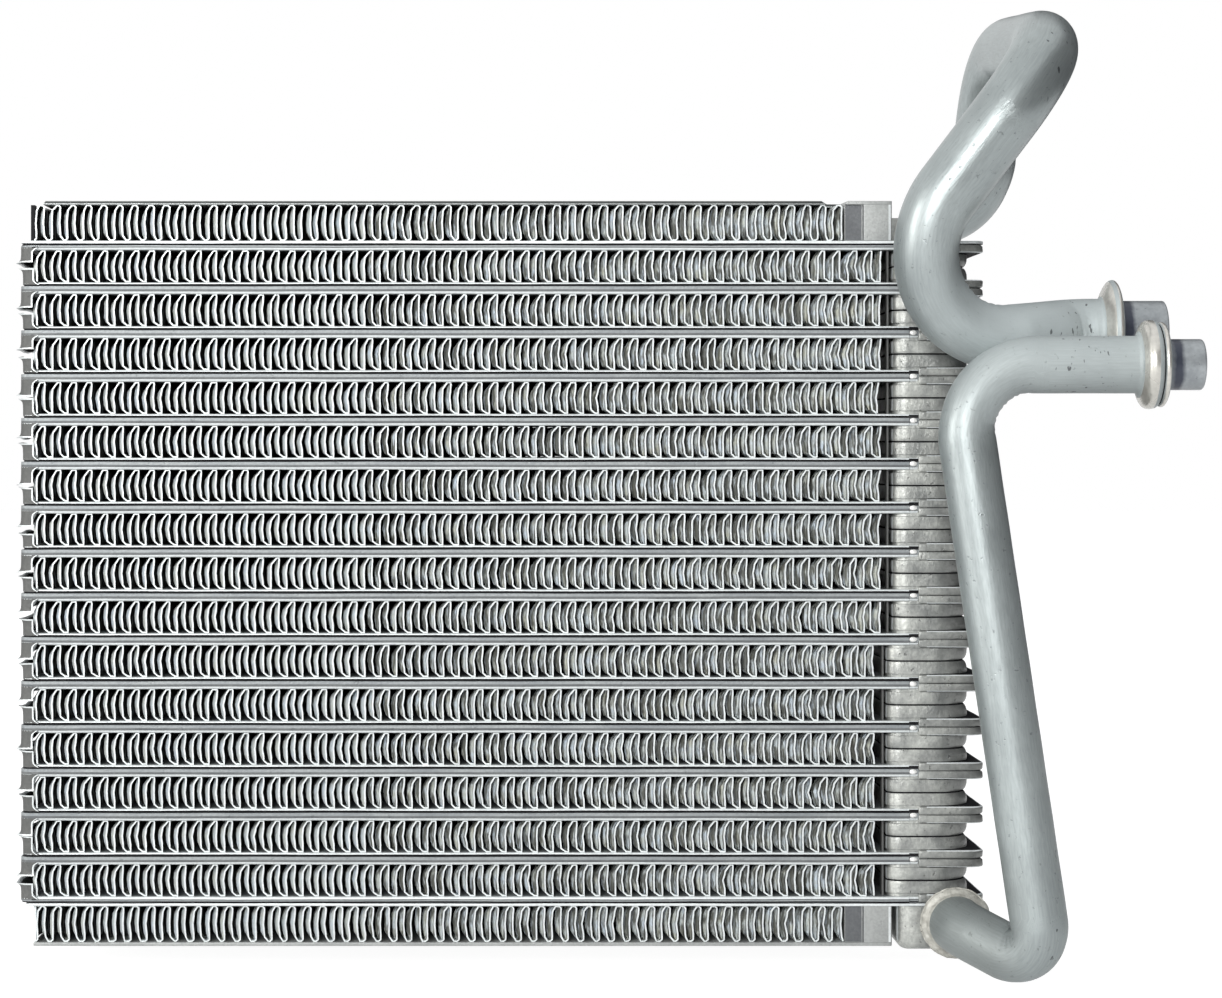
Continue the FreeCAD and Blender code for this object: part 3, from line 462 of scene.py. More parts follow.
# Painted glint: near-white copy for the small beads of braze at the skirts' ends
GLINT = metal("braze_bead_painted_glint", (0.9, 0.9, 0.88), (0.98, 0.98, 0.97), 0.3, (0.25, 0.35), patch=300.0,
              grain=900.0, bump=0.3)


# Stamped plates
NOTCH = [-121.5, -121.3, -119.75, -119.55]
SKIRT_END = [128.3, 128.5]
STATIONS = NOTCH + [-114.0 + 6.0 * k for k in range(41)] + SKIRT_END
WANDER = 0.035
END_WALL = 0.42


def away(y, amount):
    """Move a point from the front or the back face towards the middle."""
    return y + amount if y < 0 else y - amount


def share(x, start, end):
    """Zero before the start, one past the end."""
    return max(0.0, min(1.0, (x - start) / (end - start)))


def stamped_plate(name, level, up, nested, reaching, seed, cup_left):
    """One plate of a flat tube: pan, rim, two cups and the turned-up end at the left."""
    sign = 1 if up else -1
    shell = Shell(TUBE, EDGE, GROOVE, TANK, WALL, LOWER)
    near = NEST if nested else 0.0
    rng = random.Random(seed)

    def lift(points, z):
        result = []
        for x, y in points:
            shift = ripple(x, seed + 3, 0.03)
            if not nested and x >= SKIRT_END[1]:
                shift += 0.62
            if z > 1.02 and NOTCH[0] < x < NOTCH[3]:
                shift += 1.5
            on_long_side = abs(y) > BACK - near - 0.9
            y = min(away(y, shift) if on_long_side else y, BACK)
            result.append((x, y, level + sign * z + ripple(x, seed, WANDER)))
        return result

    # Tones of the pan: painted highlights on the bends, painted shade on the lower skirt, dark joints
    # between the plates
    if nested:
        right = TANK_LEFT + 0.3
        steps = [(0.0, -0.9), (0.0, 0.44), (0.3, 0.5), (0.3, 1.14), (0.02, 1.2), (0.0, 1.28), (0.07, 1.47),
                 (0.22, 1.6), (0.42, 1.67), (0.75, 1.7)]
        tones = [TUBE] + [GROOVE] * 3 + [EDGE] * 5
    elif reaching:
        right = TANK_LEFT - 0.1
        steps = [(0.5, 1.1), (0.5, -0.46), (0.42, -0.54), (0.1, -0.54), (0.0, -0.42), (0.0, 0.3),
                 (0.0, 1.0), (0.07, 1.3), (0.23, 1.55), (0.45, 1.67), (0.8, 1.7)]
        tones = [TUBE] * 5 + [LOWER] + [EDGE] * 4
    else:
        right = TANK_LEFT + 0.3
        steps = [(0.3, 0.0), (0.3, 0.3), (0.02, 0.38), (0.0, 0.46), (0.0, 0.7), (0.0, 1.05), (0.07, 1.35),
                 (0.23, 1.58), (0.45, 1.68), (0.8, 1.7)]
        tones = [GROOVE] * 2 + [TUBE] * 2 + [LOWER] + [EDGE] * 4
    corner = TUBE_CORNER - near
    loops = [lift(plan(LEFT + near, right, FRONT + near, BACK - near, (corner, 0.1, 0.1, corner), inset,
                       xs=STATIONS, ny=12), z) for inset, z in steps]

    def pan_tone(at, point):
        # Painted shade in the recess where the skirt ends at the tank
        if reaching and 4 <= at <= 5 and point[0] >= SKIRT_END[0]:
            return GROOVE
        return tones[at] if 0 <= at < len(tones) else TUBE

    shell.loft(loops, tone=pan_tone)

    loops = []
    for inset, z in ((0.6, 0.0), (0.2, 0.1), (0.05, 0.3), (0.0, 0.6), (0.0, 1.8), (0.05, 2.1), (0.22, 2.31),
                     (0.6, 2.4)):
        loop = []
        for x, y in plan(TANK_LEFT, TANK_RIGHT, FRONT, BACK, (0.4, 3.5, 3.5, 0.4), inset, nx=8, ny=14):
            pinch = 0.7 * max(0.0, 1.0 - z) ** 2 * share(x, 139.0, 148.0)
            loop.append((x - pinch, y, level + sign * z + ripple(x + y, seed, WANDER)))
        loops.append(loop)

    # Painted shade on the ledge's top and in the joint's notch at the right, painted highlight on the upper
    # bevel
    def rim_tone(at, point):
        if at >= len(loops) - 1:
            return GROOVE
        if at == 0:
            return GROOVE if point[0] > 133.0 else TANK
        return EDGE if at in (5, 6) and point[0] > 132.5 else TANK

    shell.loft(loops, tone=rim_tone)

    top = PITCH / 2
    for rear in (False, True):
        y0 = BACK - CUP_FRONT - CUP_LENGTH if rear else FRONT + CUP_FRONT
        y1 = y0 + CUP_LENGTH
        radii = (4.0, 4.0, 10.0, 4.0) if rear else (4.0, 10.0, 4.0, 4.0)
        loops = []
        for inset, z in ((0.35, 1.0), (0.35, 2.3), (0.32, 2.48), (0.02, 2.62), (0.0, 3.2), (0.02, 4.4),
                         (0.05, 5.2), (0.1, 5.75), (0.22, 6.02), (0.5, 6.12), (0.6, top)):
            points = plan(cup_left, CUP_RIGHT, y0, y1, radii, inset, nx=10, ny=12, arc=8)
            loop = []
            for x, y in points:
                dent = ripple(x * 3 + y * 1.3 + z * 2.0, seed + 7 * rear, 0.03)
                waist = 0.85 * share(z, 3.8, top) ** 2 * share(x, 137.0, 145.0)
                y = min(max(y + dent, FRONT + 0.02), BACK)
                loop.append((x + dent * 0.4 - waist, y, level + sign * z))
            loops.append(loop)

        # Painted shadow at the cup's base on the right, dark seam at the top, painted highlight on the
        # front-left corner
        def cup_tone(at, point):
            if at in (1, 2) and point[0] > 133.5:
                return GROOVE
            if at in (8, 9):
                return GROOVE
            if 3 <= at <= 7 and point[0] < cup_left + 0.25 and point[1] < FRONT + 5:
                return EDGE
            return TANK

        shell.loft(loops, tone=cup_tone)

    # The turned-up end: a thin wall round the left end, its free edge uneven and flared outwards
    rise = rng.uniform(4.7, 5.5)
    corner = TUBE_CORNER - near
    edge_x = LEFT + 3.8 + rng.uniform(-0.15, 0.25)
    centre = LEFT + near + corner
    walk = [(edge_x, FRONT + near, 0.0, -1.0), (edge_x - END_WALL, FRONT + near, 0.0, -1.0)]
    for k in range(7):
        angle = -math.pi / 2 - k * math.pi / 12
        walk.append((centre + corner * math.cos(angle), FRONT + near + corner + corner * math.sin(angle),
                     math.cos(angle), math.sin(angle)))
    straight = DEPTH - 2 * near - 2 * corner
    for k in range(1, 12):
        walk.append((LEFT + near, FRONT + near + corner + straight * k / 12, -1.0, 0.0))
    for k in range(7):
        angle = math.pi - k * math.pi / 12
        walk.append((centre + corner * math.cos(angle), BACK - near - corner + corner * math.sin(angle),
                     math.cos(angle), math.sin(angle)))
    walk += [(edge_x - END_WALL, BACK - near, 0.0, 1.0), (edge_x, BACK - near, 0.0, 1.0)]
    phase = rng.uniform(0, math.tau)
    profile = [(1.0, 0.0), (1.5, 0.0), (2.0, 0.0), (2.7, 0.0), (rise - 1.2, 0.05), (rise - 0.5, 0.15),
               (rise - 0.1, 0.35), (rise + 0.1, 0.6), (rise + 0.5, 1.15)]
    loops = []
    for index, (x, y, nx, ny) in enumerate(walk):
        left = max(0.0, -nx)
        edge = 0.28 * math.sin(y * 0.21 + phase) + 0.16 * math.sin(y * 0.63 + phase * 2)
        outer = []
        inner = []
        for z, out in profile:
            push = out * (0.12 + 1.08 * left)
            root = 0.0
            if index < 2 or index > len(walk) - 3:
                root = 1.5 * max(0.0, 1.0 - (z - 1.0) / 1.5) ** 2
            height = level + sign * (z + edge * share(z, 1.0, rise))
            px = max(x + nx * push + root, FLARE_LIMIT)
            py = min(y + ny * min(push, 0.2), BACK)
            outer.append((px, py, height))
            inner.append((px - nx * END_WALL, py - ny * END_WALL, height))
        loops.append(outer + inner[::-1])
    top_step = len(profile) - 2

    # The wall is in painted shade; its ends and flared top carry painted highlights
    def wall_tone(at, point):
        return EDGE if at in (-1, 0, len(loops) - 2, len(loops) - 1) else WALL

    start = len(shell.faces)
    shell.loft(loops, tone=wall_tone)
    around = 2 * len(profile)
    for number in range(start, len(shell.faces) - 2):
        if (number - start) % around in (top_step, top_step + 1, top_step + 2):
            shell.tones[number] = shell.materials.index(EDGE)
    shell.piece(name + "_formed", [name])


for number in range(1, TUBES + 1):
    level = tube_level(number)
    if number > 1:
        stamped_plate("tube_%02d_upper" % number, level, True, number < TUBES, number < TUBES, number,
                      LOW_CUP_LEFT if number >= FIRST_SHORT_ROW else CUP_LEFT)
    if number < TUBES:
        stamped_plate("tube_%02d_lower" % number, level, False, False, number > 1, number + 40,
                      LOW_CUP_LEFT if number >= FIRST_SHORT_ROW - 1 else CUP_LEFT)


def end_plate(name, left, low, joint_below, seed):
    """Flat plate that closes the first or the last tube."""
    shell = Shell(TUBE, EDGE, GROOVE)
    steps = [(0.3, 0.0), (0.06, 0.08), (0.0, 0.22), (0.0, 0.78), (0.06, 0.92), (0.3, 1.0)]
    loops = []
    for inset, z in steps:
        points = plan(left, TANK_RIGHT, FRONT, BACK, (0.6, 3.5, 3.5, 0.6), inset,
                      xs=STATIONS[len(NOTCH):-len(SKIRT_END)], ny=12)
        loops.append([(x, y, low + z + ripple(x, seed, 0.03)) for x, y in points])
    # The plate's edge carries a painted highlight, with a dark joint line towards its tube
    dark = (0, 1) if joint_below else (3, 4)
    shell.loft(loops, tone=lambda at, point: GROOVE if at in dark else EDGE)
    shell.piece(name + "_sheet", [name])


end_plate("end_plate_top", -124.5, TOP_TUBE, True, 61)
end_plate("end_plate_bottom", -123.2, LOWEST_TUBE - FLAT, False, 62)


# Folded fins: along the depth, where each column of points lies, how thick the sheet shows, how far the
# louvres stand out and how far the leg leans sideways
LIP = 0.42
LEAN = -0.1417
# Left of this, the louvres near the front take the lighter copy of the fin sheet, as painted light
BRIGHT_TO_X = -25.0
COLUMNS = [0.0, 0.35, 1.5, 2.8, 4.1, 5.4, 6.7, 40.0, 78.4, 83.8, 85.2, 86.65, 87.0]
THICK = [LIP, LIP, 0.16, 0.14, 0.14, 0.14, 0.14, 0.14, 0.14, 0.14, 0.16, LIP, LIP]
SLATS = [0.0, 0.02, 0.2, -0.72, 0.2, -0.72, 0.1, 0.0, 0.0, -0.42, 0.42, 0.02, 0.0]
SHEAR = [LEAN * y for y in COLUMNS[:7]] + [1.7, -1.7] + [LEAN * (COLUMNS[-1] - y) for y in COLUMNS[9:]]


def fin_row(name, left, right, low, high, seed, loose, strip, strip_half, strip_tone):
    """Serpentine strip with slatted legs, a little uneven, and a narrow strip beside its end that paints a
    line of light or shade there.
    """
    rng = random.Random(seed)
    legs = int(round((right - left) / FIN_PITCH * 2))
    step = (right - left - 0.9) / legs
    rise = high - low
    half = LIP / 2
    path = []
    for leg in range(legs + 1):
        along = leg / legs
        messy = 0.08 + 0.08 * along + (0.2 if along > 0.92 else 0.0) + loose
        x = left + 0.3 + leg * step + rng.gauss(0, messy * 0.5)
        bow = -0.24 + rng.gauss(0, 0.06 + messy * 0.3)
        kink = rng.gauss(0, messy * 0.3)
        room = min(1.0, (right - x) / 2.2)
        if leg % 2 == 0:
            slope = (1.0 if loose else 1.3) * room + rng.gauss(0, 0.16)
            foot = -0.55 if loose else 0.12
            path += [(x + foot, half, 0.0), (x, 0.65, 0.35), (x + kink * 0.4, 2.2, 1.0),
                     (x + bow + kink, rise / 2, 1.0), (x + kink * 0.4, rise - 2.9, 1.0),
                     (x + 0.12, rise - (1.6 if loose else 2.0), 0.35), (x + slope, rise - half, 0.0)]
        else:
            slope = (0.9 if loose else 1.2) * room + rng.gauss(0, 0.16)
            head = -0.35 if loose else 0.08
            path += [(x + head, rise - half, 0.0), (x + 0.1, rise - 0.75, 0.35),
                     (x + kink * 0.4, rise - 2.4, 1.0), (x + bow + kink, rise / 2, 1.0),
                     (x + kink * 0.4, 2.6, 1.0), (x + 0.1, 1.5 if loose else 1.15, 0.35),
                     (x + slope, half, 0.0)]
    shell = Shell(FIN, EDGE, WALL, GROOVE, SLAT)
    columns = len(COLUMNS)
    for index, (x, z, slat) in enumerate(path):
        before = path[max(index - 1, 0)]
        after = path[min(index + 1, len(path) - 1)]
        tx = after[0] - before[0]
        tz = after[1] - before[1]
        length = math.hypot(tx, tz) or 1.0
        nx = -tz / length
        nz = tx / length
        for side in (1, -1):
            for c in range(columns):
                t = THICK[c] / 2 * side
                shell.verts.append((x + SLATS[c] * slat + SHEAR[c] + nx * t, FRONT + FIN_INSET + COLUMNS[c],
                                    low + z + nz * t))
    count = 2 * columns
    ring = list(range(columns)) + list(range(count - 1, columns - 1, -1))
    lips = (0, columns - 2, columns - 1, columns, count - 2, count - 1)
    slatted = (2, count - 4)
    for index in range(len(path) - 1):
        a = index * count
        b = a + count
        for k in range(count):
            after = ring[(k + 1) % count]
            # The lips take the painted highlight; louvres left of BRIGHT_TO_X take the painted light copy
            bright = k in slatted and path[index][0] < BRIGHT_TO_X
            shell.face((a + ring[k], a + after, b + after, b + ring[k]),
                       EDGE if k in lips else SLAT if bright else FIN)
    shell.face(tuple(ring[::-1]), FIN)
    last = (len(path) - 1) * count
    shell.face(tuple(last + k for k in ring), FIN)
    x0, x1 = strip - strip_half, strip + strip_half
    shell.loft([[(x0, FRONT + 2.2, z), (x1, FRONT + 2.2, z), (x1, FRONT + 6.0, z), (x0, FRONT + 6.0, z)]
                for z in (low + 0.02, high - 0.02)], tone=strip_tone)
    shell.piece(name + "_folded", [name], angle=32.0)


# First row: its side strip is a dark sheet of painted shade at the left end
fin_row("fin_01", -120.6, BOX_LEFT - 0.4, TOP_PLATE, TOP_PLATE + END_RISE, 101, 0.06,
        -121.5, 0.55, GROOVE)
# Middle rows: their side strips stand in for a grey reflection line in the gap beside the tank
for number in range(2, TUBES + 1):
    base = tube_level(number) + TUBE_HALF
    short = number >= FIRST_SHORT_ROW
    fin_row("fin_%02d" % number, -FIN_HALF, SHORT_FIN_RIGHT if short else FIN_HALF, base,
            base + PITCH - 2 * TUBE_HALF, 100 + number, 0.0,
            LOW_STRIP_X if short else STRIP_X, 0.25, WALL)
# Last row: its side strip is a painted highlight line at the left end
fin_row("fin_17", -120.3, BOX_LEFT - 0.4, SHEET_RISE, SHEET_RISE + END_RISE, 117, 0.05,
        -120.9, 0.35, EDGE)


# Side plates with their formed ends
def prism(shell, outline, low, high, tone):
    """Upright solid on an outline."""
    shell.loft([[(x, y, z) for x, y in outline] for z in (low, high)], tone=tone)


def side_plate(name, left, low, on_top):
    """Sheet along the outside and a box-like end turned towards the core; the upper one is notched."""
    shell = Shell(SIDE, SHADE, EDGE, FLANK)
    z0, z1 = (low + END_RISE, low + END_RISE + SHEET_RISE) if on_top else (low, low + SHEET_RISE)
    end = [(SHEET_RIGHT - 1.0, FRONT), (SHEET_RIGHT - 0.2, FRONT + 0.1), (SHEET_RIGHT, FRONT + 0.6),
           (SHEET_RIGHT, BACK - 0.6), (SHEET_RIGHT - 0.2, BACK - 0.1), (SHEET_RIGHT - 1.0, BACK)]
    if on_top:
        notch = BOX_LEFT - 5.1

        def sheet(slant):
            return ([(left + slant, FRONT), (notch - 2 * slant, FRONT), (notch, FRONT + 12),
                     (BOX_LEFT, FRONT + 12), (BOX_LEFT + slant, FRONT)] + end +
                    [(BOX_LEFT + slant, BACK), (BOX_LEFT, BACK - 12), (notch, BACK - 12),
                     (notch - 2 * slant, BACK), (left + slant, BACK)])

        # Front face of the top sheet: painted highlight on its lowest strip, painted shade above
        def sheet_tone(at, point):
            if at in (-1, 2) or point[0] > 105.5 or point[1] > 0:
                return SIDE
            return EDGE if at == 0 else SHADE

        loops = [[(x, y, z) for x, y in sheet(0.8 * (z - z0) / SHEET_RISE)] for z in (z0, z0 + 0.3, z1)]
        shell.loft(loops, tone=sheet_tone)
    else:
        outline = [(left, FRONT)] + end + [(left, BACK)]
        prism(shell, outline, z0, z1, SIDE)
    b0, b1 = (low, z0 + 0.02) if on_top else (z1 - 0.02, low + SHEET_RISE + END_RISE)
    step = BOX_LEFT + 5.4
    box = ([(BOX_LEFT, FRONT + 1.0), (step - 0.4, FRONT + 1.0), (step, FRONT)] + end +
           [(step, BACK), (step - 0.4, BACK - 1.0), (BOX_LEFT, BACK - 1.0)])

    # Box front: painted shade on the recessed left part, painted highlight near its right end
    def box_tone(at, point):
        if at or point[1] > 0:
            return SIDE
        if point[0] < step - 0.3:
            return FLANK
        return EDGE if SHEET_RIGHT - 1.1 < point[0] < SHEET_RIGHT - 0.3 else SIDE

    prism(shell, box, b0, b1, box_tone)
    shell.piece(name + "_sheet", [name], bevel=0.12)


side_plate("side_plate_top", -118.4, TOP_PLATE, True)
side_plate("side_plate_bottom", -121.0, 0.0, False)


# Tank blocks, their bosses and the brazed collars
def block(name, x1, y0, y1, low, high, open_top, boss):
    """Drawn cup with rounded outer edges and a round boss."""
    shell = Shell(TANK, EDGE)
    height = high - low
    steps = [(0.0, 0.0), (0.0, height - 3.2)]
    for k in range(1, 7):
        angle = k * math.pi / 12
        steps.append((3.0 * (1 - math.cos(angle)), height - 3.2 + 3.2 * math.sin(angle)))
    loops = []
    for inset, z in steps:
        points = plan(BLOCK_LEFT, x1, y0, y1, (4.0,) * 4, inset, nx=8, ny=10, arc=6)
        zz = high - z if open_top else low + z
        loops.append([(x + ripple(y + z, 5, 0.05), y, zz) for x, y in points])

    # Painted highlight on the block's front-left corner
    def block_tone(at, point):
        return EDGE if point[0] < BLOCK_LEFT + 0.3 and point[1] < y0 + 4 and at < 2 else TANK

    shell.loft(loops, tone=block_tone)
    boss(shell)
    shell.piece(name + "_drawn", [name])


def inlet_boss(shell):
    lathe(shell, [(-0.5, 9.1), (0.0, 9.4), (1.6, 9.4), (2.0, 9.2), (2.1, 8.9)],
          (INLET_X, FRONT - 0.3, INLET_Z), (0, -1, 0), 72, 0.06, 3)


def outlet_boss(shell):
    lathe(shell, [(0.0, 8.8), (0.1, 9.9), (0.3, 10.45), (0.55, 10.6), (1.55, 10.6), (1.85, 10.3),
                  (2.0, 9.9)], (BOSS_X, OUTLET_Y, OUTLET_Z), (1, 0, 0), 72, 0.05, 4)


block("tank_inlet", 147.0, FRONT - 0.3, FRONT + 42.0, -1.2, 11.3, True, inlet_boss)
block("tank_outlet", 139.0, FRONT + 49.0, FRONT + 87.0, TOP_PLATE, TOP_PLATE + 10.2, False, outlet_boss)


def collar(name, profile, origin, along, seed):
    """Ring of braze with a lumpy surface."""
    shell = Shell(BRAZE)
    lathe(shell, profile, origin, along, 144, 0.1, seed)
    centre = Vector(origin)
    for index, point in enumerate(shell.verts):
        place = Vector(point)
        lump = noise_at(place * 0.45 + Vector((seed, 0, 0))) * 0.22 + noise_at(place * 1.6) * 0.07
        out = place - centre
        out -= Vector(along) * out.dot(Vector(along))
        reach = out.length
        rough = share(reach, 8.0, 8.6) * share(10.9 - reach, -0.6, 0.2) if reach else 0.0
        place += (out.normalized() * lump + Vector(along) * lump * 0.8) * rough
        shell.verts[index] = tuple(place)
    shell.piece(name + "_braze", [name])


collar("collar_inlet",
       [(0.0, 7.99), (0.0, 10.05), (0.2, 10.15), (0.3, 10.12), (0.32, 9.88), (0.7, 9.9), (1.05, 9.75),
        (1.3, 9.5), (1.5, 9.2), (1.65, 8.8), (1.9, 8.5), (2.3, 8.3), (2.8, 8.1), (3.0, 7.9)],
       (INLET_X, FRONT - 2.4, INLET_Z), (0, -1, 0), 11)
collar("collar_outlet",
       [(0.0, 9.6), (0.0, 10.5), (0.2, 10.8), (0.6, 10.9), (0.95, 10.8), (1.3, 10.3), (1.9, 9.9),
        (2.4, 9.65), (2.5, 9.5)],
       (BOSS_X + 2.0, OUTLET_Y, OUTLET_Z), (1, 0, 0), 12)


# Pipes: straight runs joined by tangent arcs, a little flattened in the turns
def bent(points, radii):
    """Samples along the axis: place, direction, pull towards the inside of a turn, share of flattening."""
    samples = []
    last = Vector(points[0])

    def run(a, b):
        length = (b - a).length
        pieces = max(2, int(length / 3.0))
        way = (b - a).normalized()
        for k in range(pieces):
            samples.append([a + way * (length * k / pieces), way, Vector((0, 0, 0)), 0.0])

    for index, radius in enumerate(radii, start=1):
        corner = Vector(points[index])
        before = (corner - Vector(points[index - 1])).normalized()
        after = (Vector(points[index + 1]) - corner).normalized()
        turn = before.angle(after)
        trim = radius * math.tan(turn / 2)
        start = corner - before * trim
        end = corner + after * trim
        inward = (after - before).normalized()
        centre = corner + inward * (radius / math.cos(turn / 2))
        run(last, start)
        pieces = max(6, int(math.degrees(turn) / 4))
        pole = before.cross(after).normalized()
        arm = start - centre
        for k in range(pieces + 1):
            angle = turn * k / pieces
            spoke = arm * math.cos(angle) + pole.cross(arm) * math.sin(angle)
            way = pole.cross(spoke).normalized()
            ease = math.sin(math.pi * k / pieces)
            samples.append([centre + spoke, way, -spoke.normalized(), min(1.0, ease * 1.6)])
        last = end
    run(last, Vector(points[-1]))
    samples.append([Vector(points[-1]), (Vector(points[-1]) - last).normalized(), Vector((0, 0, 0)), 0.0])
    return samples


def pipe(name, points, radii, radius, end_profile, ridge, groove, pilot_from, pilot, flatten, seed):
    """Pipe swept along its samples, then its turned end, then the bore seen at the tip.

    ridge, groove: steps of the end profile in the painted highlight and the painted shade materials; from
    pilot_from on, the pilot's is used.
    """
    samples = bent(points, radii)
    shell = Shell(PIPE, RIDGE, GROOVE, pilot)
    segments = 72
    way = samples[0][1]
    side = way.orthogonal().normalized()
    loops = []
    travelled = 0.0
    lengths = []
    previous = samples[0][0]
    for place, direction, inward, ease in samples:
        travelled += (place - previous).length
        previous = place
        lengths.append(travelled)
        side = (side - direction * side.dot(direction)).normalized()
        other = direction.cross(side)
        loop = []
        for k in range(segments):
            angle = math.tau * k / segments
            offset = (side * math.cos(angle) + other * math.sin(angle)) * radius
            if ease:
                pull = offset.dot(inward)
                offset -= inward * (pull * flatten * ease)
                if pull > 0:
                    wrinkle = math.sin(travelled * 1.9) * 0.05 * ease * (pull / radius)
                    offset -= inward * wrinkle * radius * 0.4
            dent = 0.03 * math.sin(travelled * 0.31 + seed) * math.sin(angle * 2 + seed * 2.1)
            loop.append(tuple(place + offset * (1 + dent / radius)))
        loops.append(loop)
    end = Vector(points[-1])
    for distance, r in end_profile:
        centre = end + Vector((distance, 0, 0))
        other = direction.cross(side)
        travelled += 0.5
        lengths.append(travelled)
        loops.append([tuple(centre + (side * math.cos(math.tau * k / segments)
                                      + other * math.sin(math.tau * k / segments)) * r)
                      for k in range(segments)])

    def pipe_tone(at, point):
        step = at - len(samples)
        if step in ridge:
            return RIDGE
        if step in groove:
            return GROOVE
        return PIPE if step < pilot_from else pilot

    shell.loft(loops, tone=pipe_tone)
    item = shell.piece(name + "_drawn", [name], angle=50.0)
    mesh = item.data
    layer = mesh.uv_layers.new(name="along")
    rows = len(loops)
    for polygon in mesh.polygons:
        numbers = [mesh.loops[i].vertex_index for i in polygon.loop_indices]
        columns = [v % segments for v in numbers]
        wraps = max(columns) - min(columns) > segments / 2
        for i, v in zip(polygon.loop_indices, numbers):
            row = min(v // segments, rows - 1)
            column = v % segments
            if wraps and column < segments / 2:
                column += segments
            layer.data[i].uv = (lengths[row] * 0.001, column / segments * math.tau * radius * 0.001)


INLET_END = (181.3, FRONT - 27.0, 164.8)
INLET_PROFILE = [
    (5.2, 7.94), (5.8, 8.0), (6.2, 8.3), (6.55, 9.2), (6.9, 10.2), (7.3, 11.1), (7.8, 11.8),
    (8.5, 12.18), (9.3, 12.28), (10.2, 12.22), (10.9, 12.0), (11.35, 11.65), (11.55, 11.3),
    (11.68, 10.95), (11.78, 10.95), (11.9, 11.2), (12.15, 11.55), (12.5, 11.75), (12.9, 11.75),
    (13.3, 11.5), (13.58, 11.0), (13.7, 10.3), (13.7, 8.1), (13.75, 7.45), (13.95, 7.12), (14.3, 7.05),
    (23.4, 7.05), (23.8, 6.95), (24.03, 6.7), (24.1, 6.3), (24.1, 6.0), (23.9, 5.85), (14.0, 5.85),
    (2.0, 5.85)]
OUTLET_END = (181.4, FRONT + 0.5, 174.7)
OUTLET_PROFILE = [
    (0.4, 9.53), (0.9, 9.65), (1.3, 10.2), (1.7, 11.2), (2.2, 12.4), (2.8, 13.55), (3.4, 14.35),
    (4.0, 14.8), (4.5, 14.9), (5.0, 14.75), (5.4, 14.35), (5.7, 13.7), (5.85, 12.8), (5.9, 11.5),
    (5.9, 9.7), (5.95, 9.2), (6.15, 9.0), (6.6, 8.95), (18.7, 8.95), (19.05, 8.85), (19.25, 8.55),
    (19.3, 8.1), (19.3, 7.9), (19.1, 7.75), (8.0, 7.75), (-2.0, 7.75)]

pipe("pipe_inlet",
     [(INLET_X, FRONT - 0.9, INLET_Z), (INLET_X, FRONT - 12.0, INLET_Z), (162.2, FRONT - 29.0, -2.9),
      (137.5, FRONT - 27.0, 164.8), INLET_END],
     [10.5, 8.4, 18.6], INLET_RADIUS, INLET_PROFILE,
     (3, 4, 5, 6, 7, 8, 16, 17, 18), (12, 13, 14), 22, PILOTS[0], 0.055, 1.3)
pipe("pipe_outlet",
     [(BOSS_X - 0.5, OUTLET_Y, OUTLET_Z), (158.8, OUTLET_Y, OUTLET_Z), (162.0, FRONT + 62.0, 262.0),
      (166.9, FRONT - 27.0, 254.3), (102.3, FRONT - 22.5, 168.5), (162.0, FRONT - 8.6, 173.2),
      (174.0, FRONT + 0.5, 174.7), OUTLET_END],
     [18.0, 25.5, 25.5, 26.0, 17.0, 17.0], OUTLET_RADIUS, OUTLET_PROFILE,
     (2, 3, 4, 5, 8, 9), (), 13, PILOTS[1], 0.06, 2.6)


# Small beads of braze where each flat tube's skirt ends at the tank, near white as a painted glint
def bead(name, x, y, z, sx, sy, sz, seed):
    """Small rounded lump."""
    rng = random.Random(seed)
    shell = Shell(GLINT)
    profile = []
    for k in range(9):
        angle = math.pi * k / 8
        profile.append((-math.cos(angle), max(math.sin(angle), 0.02)))
    loops = []
    for along, radius in profile:
        loops.append([(x + along * sx, y + math.cos(math.tau * k / 14) * radius * sy,
                       z + math.sin(math.tau * k / 14) * radius * sz * (1 + 0.1 * rng.random()))
                      for k in range(14)])
    shell.loft(loops)
    shell.piece(name, [])


for number in range(2, TUBES):
    rng = random.Random(500 + number)
    z = tube_level(number) + rng.uniform(-0.15, 0.15)
    bead("braze_bead_%02d" % number, 129.45 + rng.uniform(-0.1, 0.1), FRONT + 0.35, z - 0.1,
         rng.uniform(1.05, 1.2), 0.42, rng.uniform(0.62, 0.75), number)


# Stage: a pale floor under the part, white to the camera, and soft studio light
def seen_directly(tree):
    """One for camera, glossy and transmission rays, zero for the light that falls on the part."""
    ways = tree.nodes.new("ShaderNodeLightPath")
    return math_node(tree, "MAXIMUM", ways.outputs["Is Camera Ray"],
                     math_node(tree, "MAXIMUM", ways.outputs["Is Glossy Ray"],
                               ways.outputs["Is Transmission Ray"]))


def stage_material():
    """White to the camera and to reflections, but still shaded a little by the part."""
    material = bpy.data.materials.new("floor_white")
    material.use_nodes = True
    tree = material.node_tree
    shader = tree.nodes["Principled BSDF"]
    shader.inputs["Base Color"].default_value = (0.36, 0.36, 0.36, 1.0)
    shader.inputs["Roughness"].default_value = 1.0
    shader.inputs["Specular IOR Level"].default_value = 0.0
    glow = tree.nodes.new("ShaderNodeEmission")
    glow.inputs["Color"].default_value = (1.0, 1.0, 1.0, 1.0)
    tree.links.new(product(tree, seen_directly(tree), 0.9), glow.inputs["Strength"])
    both = tree.nodes.new("ShaderNodeAddShader")
    tree.links.new(shader.outputs[0], both.inputs[0])
    tree.links.new(glow.outputs[0], both.inputs[1])
    tree.links.new(both.outputs[0], tree.nodes["Material Output"].inputs["Surface"])
    return material


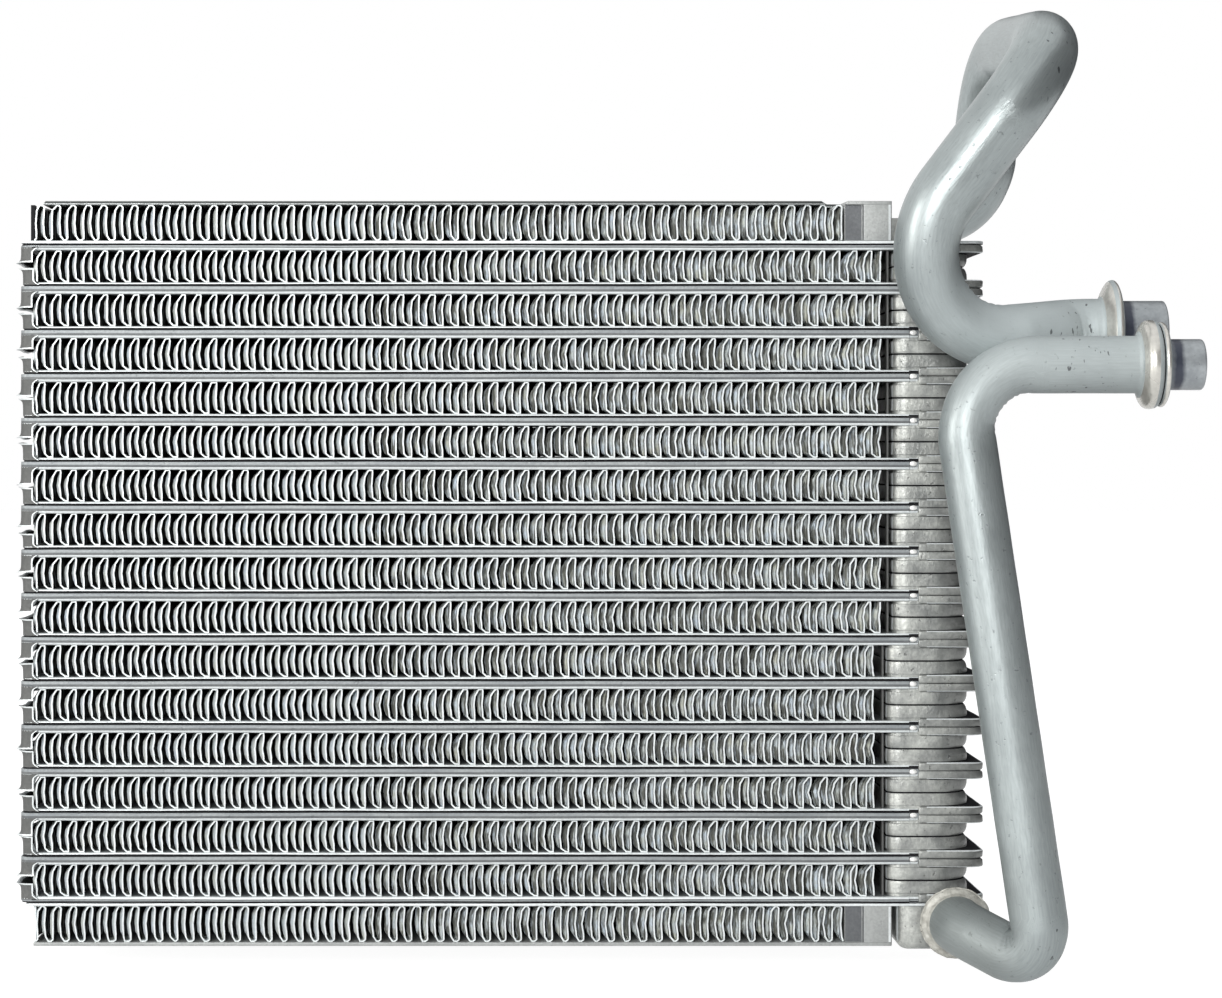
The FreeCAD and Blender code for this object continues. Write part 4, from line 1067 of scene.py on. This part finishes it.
floor_mesh = bpy.data.meshes.new("floor")
floor_mesh.from_pydata([(-6, -6, 0), (6, -6, 0), (6, 6, 0), (-6, 6, 0)], [], [(0, 1, 2, 3)])
floor = bpy.data.objects.new("floor", floor_mesh)
floor.location = (0, 0, cad_low[2] - 0.0002)
floor_mesh.materials.append(stage_material())
bpy.context.scene.collection.objects.link(floor)

world = bpy.data.worlds.new("studio")
bpy.context.scene.world = world
world.use_nodes = True
backdrop = world.node_tree.nodes["Background"]
backdrop.inputs["Color"].default_value = (1.0, 1.0, 1.0, 1.0)
strength = remap(world.node_tree, seen_directly(world.node_tree), 0.3, 1.0, 0.0, 1.0)
world.node_tree.links.new(strength, backdrop.inputs["Strength"])


def area(name, place, target, size, power, colour, mirrored):
    """Soft lamp aimed at a point, which shiny metal shows only if mirrored."""
    data = bpy.data.lights.new(name, "AREA")
    data.shape = "RECTANGLE"
    data.size, data.size_y = size
    data.energy = power
    data.color = colour
    lamp = bpy.data.objects.new(name, data)
    lamp.location = place
    lamp.rotation_mode = "QUATERNION"
    lamp.rotation_quaternion = (Vector(target) - Vector(place)).to_track_quat("-Z", "Y")
    lamp.visible_glossy = mirrored
    bpy.context.scene.collection.objects.link(lamp)


MIDDLE = (0.02, 0.0, 0.12)
COOL = (0.98, 0.99, 1.0)
area("key", (-0.55, -1.75, 0.6), MIDDLE, (0.85, 0.75), 22.0, (1.0, 0.99, 0.97), True)
area("side", (-1.75, -0.75, 0.45), MIDDLE, (0.6, 0.9), 13.0, (1.0, 0.98, 0.94), True)
area("front", (-0.1, -1.95, 0.5), MIDDLE, (0.5, 0.5), 10.5, COOL, False)
area("rear", (-1.0, 1.7, 0.9), MIDDLE, (0.9, 0.9), 16.0, COOL, False)
area("right", (1.5, 1.0, 0.9), (0.12, 0.0, 0.12), (0.9, 0.9), 8.0, COOL, False)


# Dark cards round the part's right side, as a studio uses to give metal its dark edges
def card(name, start, end, height):
    """Upright dark matt card that the camera itself doesn't see."""
    mesh = bpy.data.meshes.new(name)
    mesh.from_pydata([(*start, 0.0), (*end, 0.0), (*end, height), (*start, height)], [], [(0, 1, 2, 3)])
    item = bpy.data.objects.new(name, mesh)
    material = bpy.data.materials.new(name)
    material.use_nodes = True
    shader = material.node_tree.nodes["Principled BSDF"]
    shader.inputs["Base Color"].default_value = (0.03, 0.03, 0.035, 1.0)
    shader.inputs["Roughness"].default_value = 0.9
    mesh.materials.append(material)
    item.visible_camera = False
    item.visible_shadow = False
    item.visible_diffuse = False
    bpy.context.scene.collection.objects.link(item)


card("flag_right", (1.1, -1.4), (1.6, 0.9), 1.6)
card("flag_front", (0.15, -2.2), (1.1, -1.5), 1.4)
card("flag_back", (1.6, 0.9), (0.25, 1.6), 1.6)

# Camera: level, in front of the core, looking along its depth
camera_data = bpy.data.cameras.new("camera")
camera_data.sensor_width = 36.0
camera_data.lens = 91.28
camera_data.shift_x = 0.0998
camera_data.shift_y = -0.0450
camera = bpy.data.objects.new("camera", camera_data)
camera.location = (0.00868, -0.9265, 0.1429)
camera.rotation_euler = (math.pi / 2, 0.0, 0.0)
bpy.context.scene.collection.objects.link(camera)
bpy.context.scene.camera = camera

bpy.context.scene.view_settings.view_transform = "Standard"
